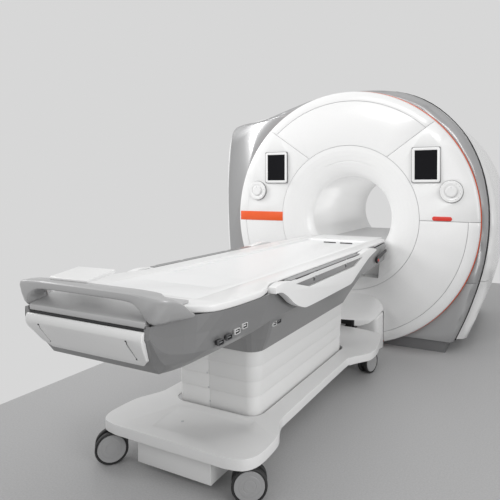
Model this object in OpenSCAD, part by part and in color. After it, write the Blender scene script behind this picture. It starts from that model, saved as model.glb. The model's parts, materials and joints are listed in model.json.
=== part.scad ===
/* [Gantry] */
// Height of the bore axis above the floor
iso_h = 1038; // [1000:1:1080]
// Radius of the patient bore
bore_r = 350; // [320:1:360]
// Wall of the bore tube
tube_wall = 8; // [5:1:12]
// Front end of the bore tube
tube_front = -676; // [-680:1:-672]
// Rear end of the bore tube
tube_rear = 790; // [780:1:800]
// Radius of the round white front face
disc_r = 1050; // [1040:1:1060]
// Width of the outer ring of the face
ring_w = 82; // [70:1:90]
// Radius of the seam between front panels and funnel
funnel_r = 603; // [590:1:615]
// Front plane of the face at the seam of the outer ring
face_y = -827; // [-835:1:-822]
// Front plane of the face at the seam of the funnel
inner_face_y = -806; // [-812:1:-800]
// Wall of the plastic covers
cover_wall = 8; // [6:1:10]
// Width of the gaps between covers
seam_gap = 3; // [2:0.5:4]
// Rear plane of the gantry
gantry_rear = 860; // [850:1:900]
// Height of the lower edge of the side covers
skirt_z = 90; // [85:1:100]
// Height of the seam across the grey side shroud
shroud_seam_z = 563; // [500:1:620]

/* [Magnet] */
// Outer radius of the magnet vessel
vessel_r = 955; // [900:1:960]
// Radius of the bore through the magnet vessel
vessel_bore_r = 467; // [460:1:480]
// Front plane of the magnet vessel
vessel_front = -600; // [-620:1:-590]
// Rear plane of the magnet vessel
vessel_rear = 700; // [680:1:720]
// Outer radius of the body coil
body_coil_r = 370; // [365:1:380]

/* [Face fittings] */
// Distance of the screens from the middle
screen_x = 655; // [640:1:670]
// Height of the screen centres
screen_z = 1466; // [1450:1:1480]
// Width of the screens
screen_w = 172; // [160:1:180]
// Height of the screens
screen_h = 228; // [220:1:240]
// Width of the frame around each screen
bezel_margin = 21; // [15:1:25]
// Distance of the dials from the middle
dial_x = 846; // [835:1:855]
// Height of the dial centres
dial_z = 1261; // [1250:1:1270]
// Radius of the dial base
dial_r = 84; // [75:1:90]
// Radius of the turning knob
knob_r = 44; // [38:1:50]
// Thickness of the badge and label plates
plate_t = 3; // [2:0.5:4]

/* [Table] */
// Height of the tabletop surface
table_z = 876; // [870:1:880]
// Half width of the sliding tabletop
tabletop_hw = 268; // [250:1:270]
// Thickness of the sliding tabletop
tabletop_t = 38; // [34:1:40]
// Head end of the sliding tabletop
tabletop_head = -684; // [-690:1:-684]
// Foot end of the sliding tabletop
tabletop_foot = -3190; // [-3210:1:-3170]
// Thickness of the fixed white table cover
cover_t = 28; // [24:1:30]
// Travel of the table's lift
lift_travel = 280; // [200:1:280]
// Head end of the table's body
table_head = -824; // [-832:1:-822]
// Wall of the grey table covers
hull_wall = 6; // [4:1:8]
// Half width of the lift pedestal
pedestal_hw = 250; // [240:1:250]
// Foot end of the lift pedestal
pedestal_foot = -2707; // [-2707:1:-2690]
// Head end of the lift pedestal
pedestal_head = -1520; // [-1530:1:-1520]
// Corner radius of the lift pedestal
pedestal_corner = 70; // [60:1:80]
// Lower edge of the table's keel
keel_z = 515; // [500:1:520]
// Wall of each telescoping sleeve
sleeve_wall = 4; // [3:0.5:4]
// Gap between telescoping sleeves
sleeve_gap = 0.5; // [0.4:0.1:0.8]
// Visible height of each telescoping sleeve
sleeve_step = 75; // [70:1:80]
// Outer radius of the fixed lift column
column_r = 110; // [100:1:120]
// Wall of each lift column stage
column_wall = 8; // [6:1:10]

/* [Side rails] */
// Inner face of the side rails
rail_x = 392; // [390:1:396]
// Thickness of the side rails
rail_t = 38; // [34:1:40]
// Distance of the rail hinge axis from the middle
rail_axis_x = 418; // [414:1:420]
// Height of the rail hinge axis
rail_axis_z = 860; // [858:1:862]
// Radius of the rail hinge pins
rail_pin_r = 5; // [4:0.5:6]

/* [Table base] */
// Top of the white base cover
base_top = 205; // [200:1:210]
// Lower edge of the white base cover
base_low = 157; // [155:1:160]
// Wall of the base cover
base_wall = 6; // [4:1:8]
// Radius of the caster wheels
wheel_r = 75; // [70:1:75]
// Distance of the wheel axle behind the swivel axis
caster_trail = 40; // [30:1:42]
// Half gap between the twin wheels of a caster
twin_gap = 12; // [11:1:14]
// Width of each caster wheel
wheel_w = 26; // [22:1:28]

/* [Hidden] */
$fn = 96;

seat = 0.3;
run_fit = 0.05;
far = 5000;
seam_r = disc_r - ring_w;

// Colours
white = [0.93, 0.93, 0.92];
grey = [0.55, 0.56, 0.57];
dark = [0.20, 0.21, 0.22];
black = [0.04, 0.04, 0.05];
steel = [0.62, 0.64, 0.66];
orange = [0.93, 0.30, 0.08];
red = [0.80, 0.08, 0.06];

// Points of a smooth line through the given points, with steps pieces between each two
function between(a, b, c, d, t) = 0.5 * (2 * b + (c - a) * t + (2 * a - 5 * b + 4 * c - d) * t * t
    + (3 * b - a - 3 * c + d) * t * t * t);
function smooth_line(p, steps) = let (last = len(p) - 1)
    [for (i = [0 : last - 1]) for (k = [0 : steps - 1])
        between(p[max(i - 1, 0)], p[i], p[i + 1], p[min(i + 2, last)], k / steps), p[last]];
function blend(a, b, t) = [for (i = [0 : len(a) - 1]) a[i] * (1 - t) + b[i] * t];

// Closed solid through rings of points, each ring turning left as seen from the first ring's side
module loft(rings) {
    n = len(rings[0]);
    m = len(rings);
    points = [for (r = rings) for (q = r) q];
    sides = [for (i = [0 : m - 2]) for (j = [0 : n - 1])
        let (k = (j + 1) % n) [i * n + j, i * n + k, (i + 1) * n + k, (i + 1) * n + j]];
    front = [[for (j = [n - 1 : -1 : 0]) j]];
    back = [[for (j = [0 : n - 1]) (m - 1) * n + j]];
    polyhedron(points, concat(sides, front, back), convexity = 6);
}

// Turns a revolved shape so that its axis is the bore axis
module about_bore() translate([0, 0, iso_h]) rotate([-90, 0, 0]) children();

// Extrudes an outline drawn in x and z along the bore axis
module along_bore(y0, y1) translate([0, y1, 0]) rotate([90, 0, 0]) linear_extrude(y1 - y0) children();

// Extrudes an outline drawn in y and z across the table
module across(x0, x1) translate([x0, 0, 0]) rotate([90, 0, 90]) linear_extrude(x1 - x0) children();

module tube(r_in, r_out, y0, y1) about_bore() translate([0, 0, y0]) difference() {
    cylinder(r = r_out, h = y1 - y0);
    translate([0, 0, -1]) cylinder(r = r_in, h = y1 - y0 + 2);
}

module block(x, y, z) translate([x[0], y[0], z[0]]) cube([x[1] - x[0], y[1] - y[0], z[1] - z[0]]);

module rounded(w, h, r) {
    square([w - 2 * r, h], center = true);
    square([w, h - 2 * r], center = true);
    for (sx = [-1, 1]) for (sy = [-1, 1]) translate([sx * (w / 2 - r), sy * (h / 2 - r)]) circle(r = r);
}

// Gantry: magnet
stand_plate_t = 12;
stand_hw = 620;
stand_front = -560;
stand_rear = 660;
turret_r = 90;
turret_y = 250;
turret_top = 2070;

module magnet_vessel() color(steel) {
    tube(vessel_bore_r, vessel_r, vessel_front, vessel_rear);
    intersection() {
        translate([0, turret_y, iso_h]) cylinder(r = turret_r, h = turret_top - iso_h);
        tube(vessel_r - 20, far, vessel_front, vessel_rear);
    }
}

saddle_x = 430;
saddle_w = 260;
saddle_y = [-450, 550];
saddle_len = 140;
module magnet_stand() color(steel) difference() {
    union() {
        block([-stand_hw, stand_hw], [stand_front, stand_rear], [0, stand_plate_t]);
        for (side = [-1, 1]) for (y = saddle_y)
            translate([side * saddle_x, y, 150]) cube([saddle_w, saddle_len, 298], center = true);
    }
    about_bore() translate([0, 0, stand_front - 1])
        cylinder(r = vessel_r + seat, h = stand_rear - stand_front + 2, $fn = 360);
}

module gradient_coil() color([0.75, 0.62, 0.35])
    tube(body_coil_r + seat, vessel_bore_r - seat, vessel_front, vessel_rear - 10);

module body_coil() color([0.72, 0.45, 0.25])
    tube(bore_r + tube_wall + seat, body_coil_r, vessel_front + 40, vessel_rear - 50);

module bore_tube() color(white) tube(bore_r, bore_r + tube_wall, tube_front, tube_rear);

guide_top = table_z - tabletop_t - 0.5;
guide_t = 26;
guide_front = -650;
guide_rear = 620;
module bore_guide() color(dark) intersection() {
    block([-bore_r, bore_r], [guide_front, guide_rear], [guide_top - guide_t, guide_top]);
    about_bore() translate([0, 0, guide_front - 1])
        cylinder(r = bore_r - seat, h = guide_rear - guide_front + 2);
}

// Gantry: frame behind the covers
plinth_left = -1080;
plinth_right = 790;
plinth_front = -735;
plinth_rear = 815;
plinth_w = 60;
module base_plinth() color(dark) difference() {
    block([plinth_left, plinth_right], [plinth_front, plinth_rear], [0, skirt_z - seat]);
    block([plinth_left + plinth_w, plinth_right - plinth_w],
        [plinth_front + plinth_w, plinth_rear - plinth_w], [-1, skirt_z]);
}

function face_at(r) = inner_face_y + (face_y - inner_face_y) * (r - funnel_r) / (seam_r - funnel_r);
face_low = 20;
frame_front = -756;
frame_rear = -744;
frame_r = disc_r + 6;
frame_in = funnel_r - 9;
ring_rear = frame_front - 8;
web_w = 13;
frame_gap = 2;
standoff_r = 15;
standoff_at = 800;

module cover_frame() color(steel) difference() {
    union() {
        tube(frame_in, frame_r, frame_front, frame_rear);
        about_bore() rotate_extrude() {
            polygon([[seam_r - web_w, face_at(seam_r - web_w) + cover_wall + seat],
                [seam_r, face_y + cover_wall + seat], [seam_r + web_w, face_y + cover_wall + 2],
                [seam_r + web_w, frame_front + 1], [seam_r - web_w, frame_front + 1]]);
            polygon([[frame_in, inner_face_y + cover_wall + frame_gap],
                [funnel_r, inner_face_y + cover_wall + seat],
                [funnel_r + web_w, face_at(funnel_r + web_w) + cover_wall + seat],
                [funnel_r + web_w, frame_front + 1], [frame_in, frame_front + 1]]);
        }
        for (a = [22.5 : 45 : 359]) about_bore() rotate([0, 0, a])
            translate([standoff_at, 0, frame_rear - 1])
                cylinder(r = standoff_r, h = vessel_front - frame_rear + 1);
    }
    block([-far, far], [-far, 0], [-far, face_low]);
    for (side = [-1, 1]) dial_pocket(side);
}

// Gantry: white front covers
column_hw = 323;
column_top = 285;
module column_room() block([-column_hw - seam_gap, column_hw + seam_gap], [-far, frame_front - 1],
    [-far, column_top + seam_gap]);

ring_edge = [[disc_r - 20, face_y + 6], [disc_r - 6, face_y + 14], [disc_r, face_y + 28],
    [disc_r, ring_rear], [disc_r - cover_wall, ring_rear], [disc_r - cover_wall, face_y + 30],
    [disc_r - 13, face_y + 20], [disc_r - 24, face_y + 14]];
module front_ring() color(white) difference() {
    about_bore() rotate_extrude() polygon(concat([[seam_r + seam_gap / 2, face_y]], ring_edge,
        [[seam_r + seam_gap / 2, face_y + cover_wall]]));
    column_room();
    block([-far, far], [-far, 0], [-far, face_low]);
    for (side = [-1, 1]) side_sector(side, seam_gap);
}

module accent_ring() color(orange) difference() {
    tube(disc_r - 6, disc_r + 6, ring_rear + seat, frame_front - seat);
    block([-far, far], [-far, 0], [-far, face_low]);
}

module face_slab(r0, r1) about_bore() rotate_extrude() polygon([[r0, face_at(r0)], [r1, face_at(r1)],
    [r1, face_at(r1) + cover_wall], [r0, face_at(r0) + cover_wall]]);

panel_in = funnel_r + seam_gap / 2;
panel_out = seam_r - seam_gap / 2;
cross_z = iso_h - 6;
seam_start = [338, 497];
seam_end = [665, 727];
seam_slope = (seam_end[1] - seam_start[1]) / (seam_end[0] - seam_start[0]);
function seam_z(x) = iso_h + seam_start[1] + seam_slope * (abs(x) - seam_start[0]);

module screen_pocket(side) translate([side * screen_x, 0, screen_z]) along_bore(face_y - 20, frame_front - 2)
    rounded(screen_w + 2 * bezel_margin + 2 * seat, screen_h + 2 * bezel_margin + 2 * seat, 18);
module dial_pocket(side) translate([side * dial_x, face_y - 20, dial_z]) rotate([-90, 0, 0])
    cylinder(r = dial_r + seat, h = 60);

// Sector of a side panel, which reaches out to the edge of the face and parts the outer ring
module side_sector(side, grow) along_bore(-far, 0) polygon([[0, cross_z + seam_gap / 2 - grow],
    [side * far, cross_z + seam_gap / 2 - grow], [side * far, seam_z(far) - seam_gap + grow],
    [0, seam_z(0) - seam_gap + grow]]);

module side_panel(side) color(white) difference() {
    intersection() {
        about_bore() rotate_extrude() polygon(concat([[panel_in, face_at(panel_in)], [seam_r, face_y]],
            ring_edge, [[seam_r, face_y + cover_wall], [panel_in, face_at(panel_in) + cover_wall]]));
        side_sector(side, 0);
    }
    screen_pocket(side);
    dial_pocket(side);
}

module low_panel(side) color(white) difference() {
    intersection() {
        face_slab(panel_in, panel_out);
        along_bore(-far, 0) polygon([[side * seam_gap / 2, cross_z - seam_gap / 2],
            [side * seam_gap / 2, -far], [side * far, -far], [side * far, cross_z - seam_gap / 2]]);
    }
    column_room();
}

module front_panel_top() color(white) intersection() {
    face_slab(panel_in, panel_out);
    along_bore(-far, 0) polygon([[0, seam_z(0)], [far, seam_z(far)], [far, 3 * far], [-far, 3 * far],
        [-far, seam_z(far)]]);
}
module front_panel_left() side_panel(-1);
module front_panel_right() side_panel(1);
module front_panel_low_left() low_panel(-1);
module front_panel_low_right() low_panel(1);

// Curve of the funnel from the front face into the bore
funnel_edge = funnel_r - seam_gap / 2;
function funnel_point(a, edge, y0, y1, out) = [edge - (edge - bore_r) * sin(a) + out * sin(a),
    y0 + (y1 - y0) * pow(1 - cos(a), 0.7) + sign(y1 - y0) * out * cos(a)];
function funnel_line(edge, y0, y1, out, backwards) =
    [for (i = [0 : 10]) funnel_point(backwards ? 90 - 9 * i : 9 * i, edge, y0, y1, out)];
fold_r = 477;
fold_w = 13;
fold_drop = 157;
fold_deep = 36;

// Crescent pressed into the upper part of the funnel
module fold_cut() along_bore(inner_face_y, inner_face_y + fold_deep) difference() {
    translate([0, iso_h]) circle(r = fold_r);
    translate([0, iso_h - fold_drop]) circle(r = fold_r + fold_drop - fold_w);
}

// Recess in the funnel that takes the head of the tabletop when the table is lowered
recess_hw = tabletop_hw + 6;
recess_low = table_z - tabletop_t - lift_travel - 8;
liner_t = 6;
liner_front = inner_face_y + cover_wall;

module funnel_air() about_bore() rotate_extrude()
    polygon(concat([[0, inner_face_y - 20], [funnel_edge, inner_face_y - 20]],
        funnel_line(funnel_edge, inner_face_y, tube_front, 0, false),
        [[bore_r + tube_wall + seat, tube_front], [bore_r + tube_wall + seat, tube_front + 40],
        [0, tube_front + 40]]));

module front_funnel() color(white) {
    difference() {
        about_bore() rotate_extrude()
            polygon(concat(funnel_line(funnel_edge, inner_face_y, tube_front, 0, false),
                funnel_line(funnel_edge, inner_face_y, tube_front, cover_wall, true)));
        fold_cut();
        block([-recess_hw, recess_hw], [-far, tube_front + 1], [recess_low, iso_h]);
    }
    difference() {
        block([-recess_hw - liner_t, recess_hw + liner_t], [liner_front, tube_front + liner_t],
            [recess_low - liner_t, iso_h]);
        block([-recess_hw, recess_hw], [-far, tube_front], [recess_low, far]);
        funnel_air();
    }
}

rear_hole_r = 560;
rear_lip = 6;
module rear_funnel() color(white) about_bore() rotate_extrude()
    polygon(concat(funnel_line(rear_hole_r - seat, gantry_rear + rear_lip, tube_rear, 0, true),
        funnel_line(rear_hole_r - seat, gantry_rear + rear_lip, tube_rear, cover_wall, false)));

// Outline of a cover round the face, from its lower right end over the top to its lower left end
// Each of its points holds an angle about the bore axis and a distance outside the round face
function outline_round(edge, right, left) = smooth_line(concat([[right, skirt_z]],
    [for (q = edge) [(disc_r + q[1]) * cos(q[0]), iso_h + (disc_r + q[1]) * sin(q[0])]],
    [[left, skirt_z]]), 4);

// Gantry: grey shroud round the front face
shroud_front = -752;
shroud_mid = -700;
shroud_rear = -640;
shroud_edge = [[-36.7, 135], [-20.8, 69], [-5.5, 45], [9.2, 48], [24.1, 66], [38.5, 82], [54.4, 83],
    [69.9, 55], [90, 18], [106.1, 29], [121.1, 72], [134.1, 171], [141.3, 307], [145.3, 367],
    [149.7, 342], [160.2, 257], [174.2, 196], [196, 215], [211.3, 313]];
shroud_line = outline_round(shroud_edge, 850, -1110);

// Points of a cover's outline at one depth, moved inwards from the outline by a given distance
function moved_in(q, d, low) = let (v = [q[0], q[1] - iso_h], s = 1 - d / norm(v))
    [v[0] * s, q[1] <= skirt_z + 1 ? low : max(low, iso_h + v[1] * s)];
function cover_ring(outline, y, d, low) =
    [for (q = outline) let (p = moved_in(q, d, low)) [p[0], y, p[1]]];

// Each station holds depth and inset, first those of the outside, then those of the hollow
shroud_wall = 7;
shroud_out = [[shroud_front, 34], [shroud_front + 22, 10], [shroud_mid, 0], [shroud_rear, 0]];
shroud_in = [[shroud_front + 8, 41], [shroud_front + 28, 17], [shroud_mid, shroud_wall],
    [shroud_rear + 1, shroud_wall]];

module shroud() color(grey) difference() {
    loft([for (s = shroud_out) cover_ring(shroud_line, s[0], s[1], skirt_z)]);
    loft([for (s = shroud_in) cover_ring(shroud_line, s[0], s[1], skirt_z + shroud_wall)]);
    about_bore() translate([0, 0, -far]) cylinder(r = frame_r + seat, h = far);
}

module shroud_upper() intersection() {
    shroud();
    block([-far, far], [-far, far], [shroud_seam_z + 1, far]);
}

module shroud_lower() intersection() {
    shroud();
    block([-far, far], [-far, far], [0, shroud_seam_z - 1]);
}

// Gantry: white rear cover
rear_edge = [[-34.6, 198], [-21.7, 134], [-6.4, 100], [2.6, 97], [15, 99], [27.1, 96], [40.1, 87],
    [55.4, 76], [71.4, 49], [90, 16], [108.7, 40], [126.3, 132], [138.4, 287], [145.2, 424],
    [151.1, 446], [161, 369], [174.6, 306], [194.6, 330], [208.6, 430]];
rear_line = outline_round(rear_edge, 930, -1262);
rear_front = -636;
room_hw = 690;
flare_line = blend(shroud_line, rear_line, 0.65);
rear_stations = [[gantry_rear - 300, 6], [gantry_rear - 100, 40], [gantry_rear - 20, 100],
    [gantry_rear, 160]];
rear_hollow = [[gantry_rear - 300, 13], [gantry_rear - 104, 47], [gantry_rear - 26, 107],
    [gantry_rear - shroud_wall, 165]];

module rear_shell() color(white) difference() {
    loft([cover_ring(shroud_line, rear_front, 2, skirt_z),
        cover_ring(flare_line, rear_front + 24, 0, skirt_z),
        cover_ring(rear_line, rear_front + 76, 0, skirt_z),
        for (s = rear_stations) cover_ring(rear_line, s[0], s[1], skirt_z)]);
    loft([cover_ring(shroud_line, rear_front - 1, 9, skirt_z + shroud_wall),
        cover_ring(flare_line, rear_front + 29, shroud_wall, skirt_z + shroud_wall),
        cover_ring(rear_line, rear_front + 81, shroud_wall, skirt_z + shroud_wall),
        for (s = rear_hollow) cover_ring(rear_line, s[0], s[1], skirt_z + shroud_wall)]);
    about_bore() translate([0, 0, gantry_rear - 50]) cylinder(r = rear_hole_r, h = 100);
    block([-room_hw, room_hw], [-far, vessel_rear + 40], [-far, skirt_z + 60]);
}

// Gantry: housing that the table docks into
column_rear = face_y + cover_wall;
nose_z = 250;

// Each ring of the nose holds height, half width, front and how slowly it rises from the face
nose_back = -800;
nose_rings = [[412, 210, -812, 1.5], [396, 268, -840, 1.4], [368, 300, -892, 1.25], [335, 318, -950, 1.1],
    [300, 328, -1004, 0.95], [270, 332, -1040, 0.85], [nose_z, 332, -1056, 0.8], [205, 330, -1058, 0.8]];
function nose_ring(q) = concat([[q[1], nose_back - 0.1, q[0]], [-q[1], nose_back - 0.1, q[0]]],
    [for (a = [190 : 10 : 350]) [q[1] * cos(a), nose_back + (q[2] - nose_back) * pow(-sin(a), q[3]), q[0]]]);
nose_front = [[-336, 345], [-318, 300], [-292, 258], [-250, 224], [-190, 206], [190, 206], [250, 224],
    [292, 258], [318, 300], [336, 345], [336, 500], [-336, 500]];
module dock_housing() color(white) {
    hull() {
        block([-column_hw, column_hw], [column_rear - 30, column_rear], [4, column_top]);
        for (sx = [-1, 1]) translate([sx * (column_hw - 50), -900, 4])
            cylinder(r = 40, h = nose_z - 4, $fn = 32);
    }
    difference() {
        intersection() {
            loft([for (q = nose_rings) nose_ring(q)]);
            along_bore(-far, 0) polygon(nose_front);
        }
        about_bore() rotate_extrude() polygon([[500, face_at(500) - seat], [seam_r, face_y - seat],
            [disc_r, face_y - seat], [disc_r, 0], [500, 0]]);
        block([-socket_hw - seat, socket_hw + seat], [-far, socket_y[1] + seat], [0, nose_z]);
    }
}

// Socket under the housing's nose, and the arm of the table base that lies in it when docked
dock_z = 182;
arm_hw = 60;
arm_t = 15;
socket_hw = 150;
socket_y = [-1036, -960];
socket_wall = 6;
module dock_socket() color(black) difference() {
    block([-socket_hw, socket_hw], socket_y, [dock_z - seat - socket_wall, nose_z - seat]);
    block([-socket_hw + 20, socket_hw - 20], [socket_y[0] - 1, socket_y[1] - 15],
        [dock_z - seat, nose_z - 8]);
}

// Gantry: fittings on the face
bezel_front = face_y - 4;
bezel_rear = face_y + 22;
screen_depth = 8;

module screen_bezels() color([0.86, 0.86, 0.85]) for (side = [-1, 1])
    translate([side * screen_x, 0, screen_z]) difference() {
        along_bore(bezel_front, bezel_rear)
            rounded(screen_w + 2 * bezel_margin, screen_h + 2 * bezel_margin, 18);
        along_bore(bezel_front - 1, bezel_front + screen_depth) square([screen_w, screen_h], center = true);
    }

module screens() color(black) for (side = [-1, 1]) translate([side * screen_x, 0, screen_z])
    along_bore(bezel_front + 2, bezel_front + screen_depth)
        square([screen_w - 2 * seat, screen_h - 2 * seat], center = true);

dial_front = face_y - 6;
dial_back = face_y + 20;
hub_r = 20;
hub_h = 8;
knob_t = 16;
module dial_bases() color(white) for (side = [-1, 1]) translate([side * dial_x, 0, dial_z])
    rotate([90, 0, 0]) {
        translate([0, 0, -dial_back]) cylinder(r = dial_r, h = dial_back - dial_front);
        translate([0, 0, -dial_front]) cylinder(r = hub_r, h = hub_h);
    }

module knob(side) color([0.80, 0.80, 0.79]) translate([side * dial_x, dial_front - seat, dial_z])
    rotate([90, 0, 0]) difference() {
        cylinder(r = knob_r, h = knob_t);
        translate([0, 0, -1]) cylinder(r = hub_r + run_fit, h = hub_h + 2);
        for (a = [0 : 60 : 300]) rotate([0, 0, a]) translate([knob_r + 2, 0, -1])
            cylinder(r = 6, h = knob_t + 2);
    }
module knob_left() knob(-1);
module knob_right() knob(1);

module face_plate(x, z) intersection() {
    about_bore() rotate_extrude() polygon([[500, face_at(500) - seat - plate_t],
        [seam_r, face_y - seat - plate_t], [disc_r - 20, face_y + 6 - seat - plate_t],
        [disc_r - 20, face_y + 6 - seat], [seam_r, face_y - seat], [500, face_at(500) - seat]]);
    block(x, [-far, 0], z);
}
badge_h = 80;
badge_z = cross_z + 1;
module badge_plate() color(orange)
    face_plate([21 - disc_r, seam_gap - funnel_r], [badge_z - badge_h / 2, badge_z + badge_h / 2]);

pill_x = 776;
pill_z = iso_h + 14;
pill_w = 148;
pill_h = 33;
module pill_plate() color(red) intersection() {
    face_plate([pill_x - pill_w, pill_x + pill_w], [pill_z - pill_h, pill_z + pill_h]);
    translate([pill_x, 0, pill_z]) along_bore(-far, 0) rounded(pill_w, pill_h, pill_h / 2 - 0.5);
}

// Table: outline of the grey body at stations along it
// Each station holds y, half width at the top, half width and height of the chine, and the same
// two of the bottom
hull_foot = -3490;
stations = [[hull_foot, 312, 308, 812, 302, 802], [-3455, 317, 309, 770, 285, 742],
    [-3425, 322, 312, 745, 268, 690], [-3400, 326, 315, 732, 268, 656], [-3340, 337, 325, 716, 280, 652],
    [-3290, 352, 340, 709, 286, 650], [-3240, 382, 356, 706, 289, 650], [-3190, 402, 366, 706, 290, 650],
    [-3120, 413, 371, 706, 291, 651], [-3040, 419, 372, 706, 292, 652], [-2885, 420, 372, 706, 292, 652],
    [-2850, 380, 370, 706, 294, 656], [-2760, 380, 368, 706, 298, 672], [-1420, 380, 366, 706, 300, 690],
    [-1340, 380, 364, 706, 300, 694], [-1250, 374, 360, 706, 300, 697], [-1000, 356, 345, 709, 300, 700],
    [table_head, 340, 330, 713, 296, 704]];
hull_top = table_z - cover_t - seat;

function hull_ring(s, d, extra) = [[-s[4] + d / 2, s[0], s[5] + d], [s[4] - d / 2, s[0], s[5] + d],
    [(s[4] + s[2]) / 2 + 6 - d, s[0], (s[5] + s[3]) / 2 - 3 + d / 2], [s[2] - d, s[0], s[3] + d / 2],
    [(s[1] + s[2]) / 2 - 2 - d, s[0], (s[3] + hull_top) / 2], [s[1] - d, s[0], hull_top + extra],
    [-s[1] + d, s[0], hull_top + extra], [-(s[1] + s[2]) / 2 + 2 + d, s[0], (s[3] + hull_top) / 2],
    [-s[2] + d, s[0], s[3] + d / 2], [-(s[4] + s[2]) / 2 - 6 + d, s[0], (s[5] + s[3]) / 2 - 3 + d / 2]];
module hull_solid(d, extra) loft([for (s = stations) hull_ring(s, d, extra)]);

// Rounded rectangle as points, turning left seen from above
function corner(x, y, r, a) = [for (i = [0 : 6]) [x + r * cos(a + 15 * i), y + r * sin(a + 15 * i)]];
function plan_ring(hw, y0, y1, r, z) = [for (q = concat(corner(hw - r, y1 - r, r, 0),
    corner(r - hw, y1 - r, r, 90), corner(r - hw, y0 + r, r, 180), corner(hw - r, y0 + r, r, 270)))
    [q[0], q[1], z]];
keel_top = 712;
module keel_solid(d) loft([plan_ring(364 - d, -2860 + d, -1330 - d, 130, keel_top),
    plan_ring(350 - d, -2840 + d, -1350 - d, 125, 690), plan_ring(296 - d, -2762 + d, -1440 - d, 100, 590),
    plan_ring(pedestal_hw + 8 - d, pedestal_foot - 10 + d, pedestal_head + 10 - d, pedestal_corner,
        keel_z - (d > 0 ? 1 : 0))]);

module pedestal_outline(grow) translate([0, (pedestal_foot + pedestal_head) / 2])
    rounded(2 * (pedestal_hw + grow), pedestal_head - pedestal_foot + 2 * grow, pedestal_corner + grow);

// Sockets on the side, each with y, height, inner and outer face
sockets = [[-3200, 728, 372, 390], [-3146, 733, 372, 391], [-3092, 741, 374, 392], [-3038, 749, 374, 393],
    [-2690, 663, 324, 339], [-2645, 664, 324, 339]];
module socket_blocks(gap) for (q = sockets) block([q[2], q[3]], [q[0] - 15 - gap, q[0] + 15 + gap],
    [q[1] - 8 - gap, q[1] + 8 + gap]);

module table_hull() difference() {
    union() {
        hull_solid(0, 0);
        keel_solid(0);
    }
    difference() {
        hull_solid(hull_wall, 5);
        block([-far, far], [table_head - hull_wall, 0], [0, far]);
        block([-far, far], [-far, hull_foot + hull_wall], [0, far]);
    }
    keel_solid(hull_wall);
    block([-tabletop_hw - seat, tabletop_hw + seat], [tabletop_foot - seat, 0], [rail_top, far]);
    block([-shelf_room, shelf_room], [-far, shelf_back], [shelf_low - seat, far]);
    translate([0, 0, keel_z - 10]) linear_extrude(keel_top - keel_z + 12) pedestal_outline(seat);
    for (side = [-1, 1]) for (y = hinge_y) block([side * 384 - 44, side * 384 + 44],
        [y - hinge_w, y + hinge_w], [hull_top - hinge_t - 1, hull_top + 1]);
    socket_blocks(seat);
    translate([0, lever_y, lever_z]) rotate([0, 90, 0]) cylinder(r = boss_r + seat, h = 500, $fn = 32);
}

module hull_left() color(grey) intersection() {
    table_hull();
    block([-far, -0.5], [-far, 0], [0, far]);
}
module hull_right() color(grey) intersection() {
    table_hull();
    block([0.5, far], [-far, 0], [0, far]);
}

// Table: steel frame, rails and drive
frame_z = 700;
frame_plate_t = 12;
beam_x = 175;
beam_w = 50;
guide_x = 200;
guide_hw = 20;
beam_top = 800;
bars_y = [-3300, -2560, -1700, -960];
bars_hw = [316, 365, 364, 335];
bar_hw = 20;
rail_top = table_z - tabletop_t - seat;
lift_y = (pedestal_foot + pedestal_head) / 2;
column_top_z = 400;
inner_column_z = 400;

module column(r_out, z0, z1) translate([0, lift_y, z0]) difference() {
    cylinder(r = r_out, h = z1 - z0);
    translate([0, 0, -1]) cylinder(r = r_out - column_wall, h = z1 - z0 + 2);
}

module table_frame() color(steel) {
    translate([0, 0, frame_z]) linear_extrude(frame_plate_t) pedestal_outline(-1);
    for (side = [-1, 1]) {
        block([side * beam_x - beam_w / 2, side * beam_x + beam_w / 2], [-3400, -870],
            [frame_z + frame_plate_t - 0.5, beam_top]);
        block([side * guide_x - guide_hw, side * guide_x + guide_hw], [tabletop_foot, table_head - 10],
            [beam_top - 1, rail_top]);
    }
    for (i = [0 : 3]) block([-bars_hw[i], bars_hw[i]], [bars_y[i] - bar_hw, bars_y[i] + bar_hw],
        [beam_top - 30, beam_top]);
    column(column_r - 2 * (column_wall + seat), inner_column_z, frame_z + 1);
}

module lift_stage() color(steel)
    column(column_r - column_wall - seat, inner_column_z - 135, inner_column_z + 145);

motor_foot = bars_y[0] + bar_hw + seat;
belt_t = 4;
belt_hw = 15;
module tabletop_drive() color(dark) {
    block([-70, 70], [motor_foot, motor_foot + 120], [beam_top - 70, beam_top - seat]);
    difference() {
        block([-belt_hw, belt_hw], [-3240, table_head - 20], [beam_top, rail_top - 2]);
        block([-belt_hw - 1, belt_hw + 1], [-3230, table_head - 30],
            [beam_top + belt_t, rail_top - 2 - belt_t]);
    }
}

cover_points = [[0, -3310], [200, -3308], [290, -3300], [345, -3276], [386, -3234], [408, -3160],
    [418, -3060], [421, -2960], [404, -2880], [384, -2835], [371, -2790]];
cover_line = concat(smooth_line(cover_points, 4), [[370, -1420], [358, -1240], [343, -1000],
    [330, table_head]]);
module cover_outline() polygon(concat(cover_line,
    [for (i = [len(cover_line) - 1 : -1 : 1]) [-cover_line[i][0], cover_line[i][1]]]));

module table_cover() color(white) difference() {
    translate([0, 0, table_z - cover_t]) linear_extrude(cover_t) cover_outline();
    block([-tabletop_hw - seat, tabletop_hw + seat], [tabletop_foot - seat, 0], [0, far]);
}

module tabletop() color(white) difference() {
    block([-tabletop_hw, tabletop_hw], [tabletop_foot, tabletop_head], [table_z - tabletop_t, table_z - 2]);
    block([-tabletop_hw + 22, tabletop_hw - 22], [tabletop_foot + 420, tabletop_head - 330],
        [table_z - 14, far]);
    for (x = [-12, 122]) translate([x, tabletop_head - 460, 0])
        block([-50, 50], [-8, 8], [table_z - 20, far]);
}

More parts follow.
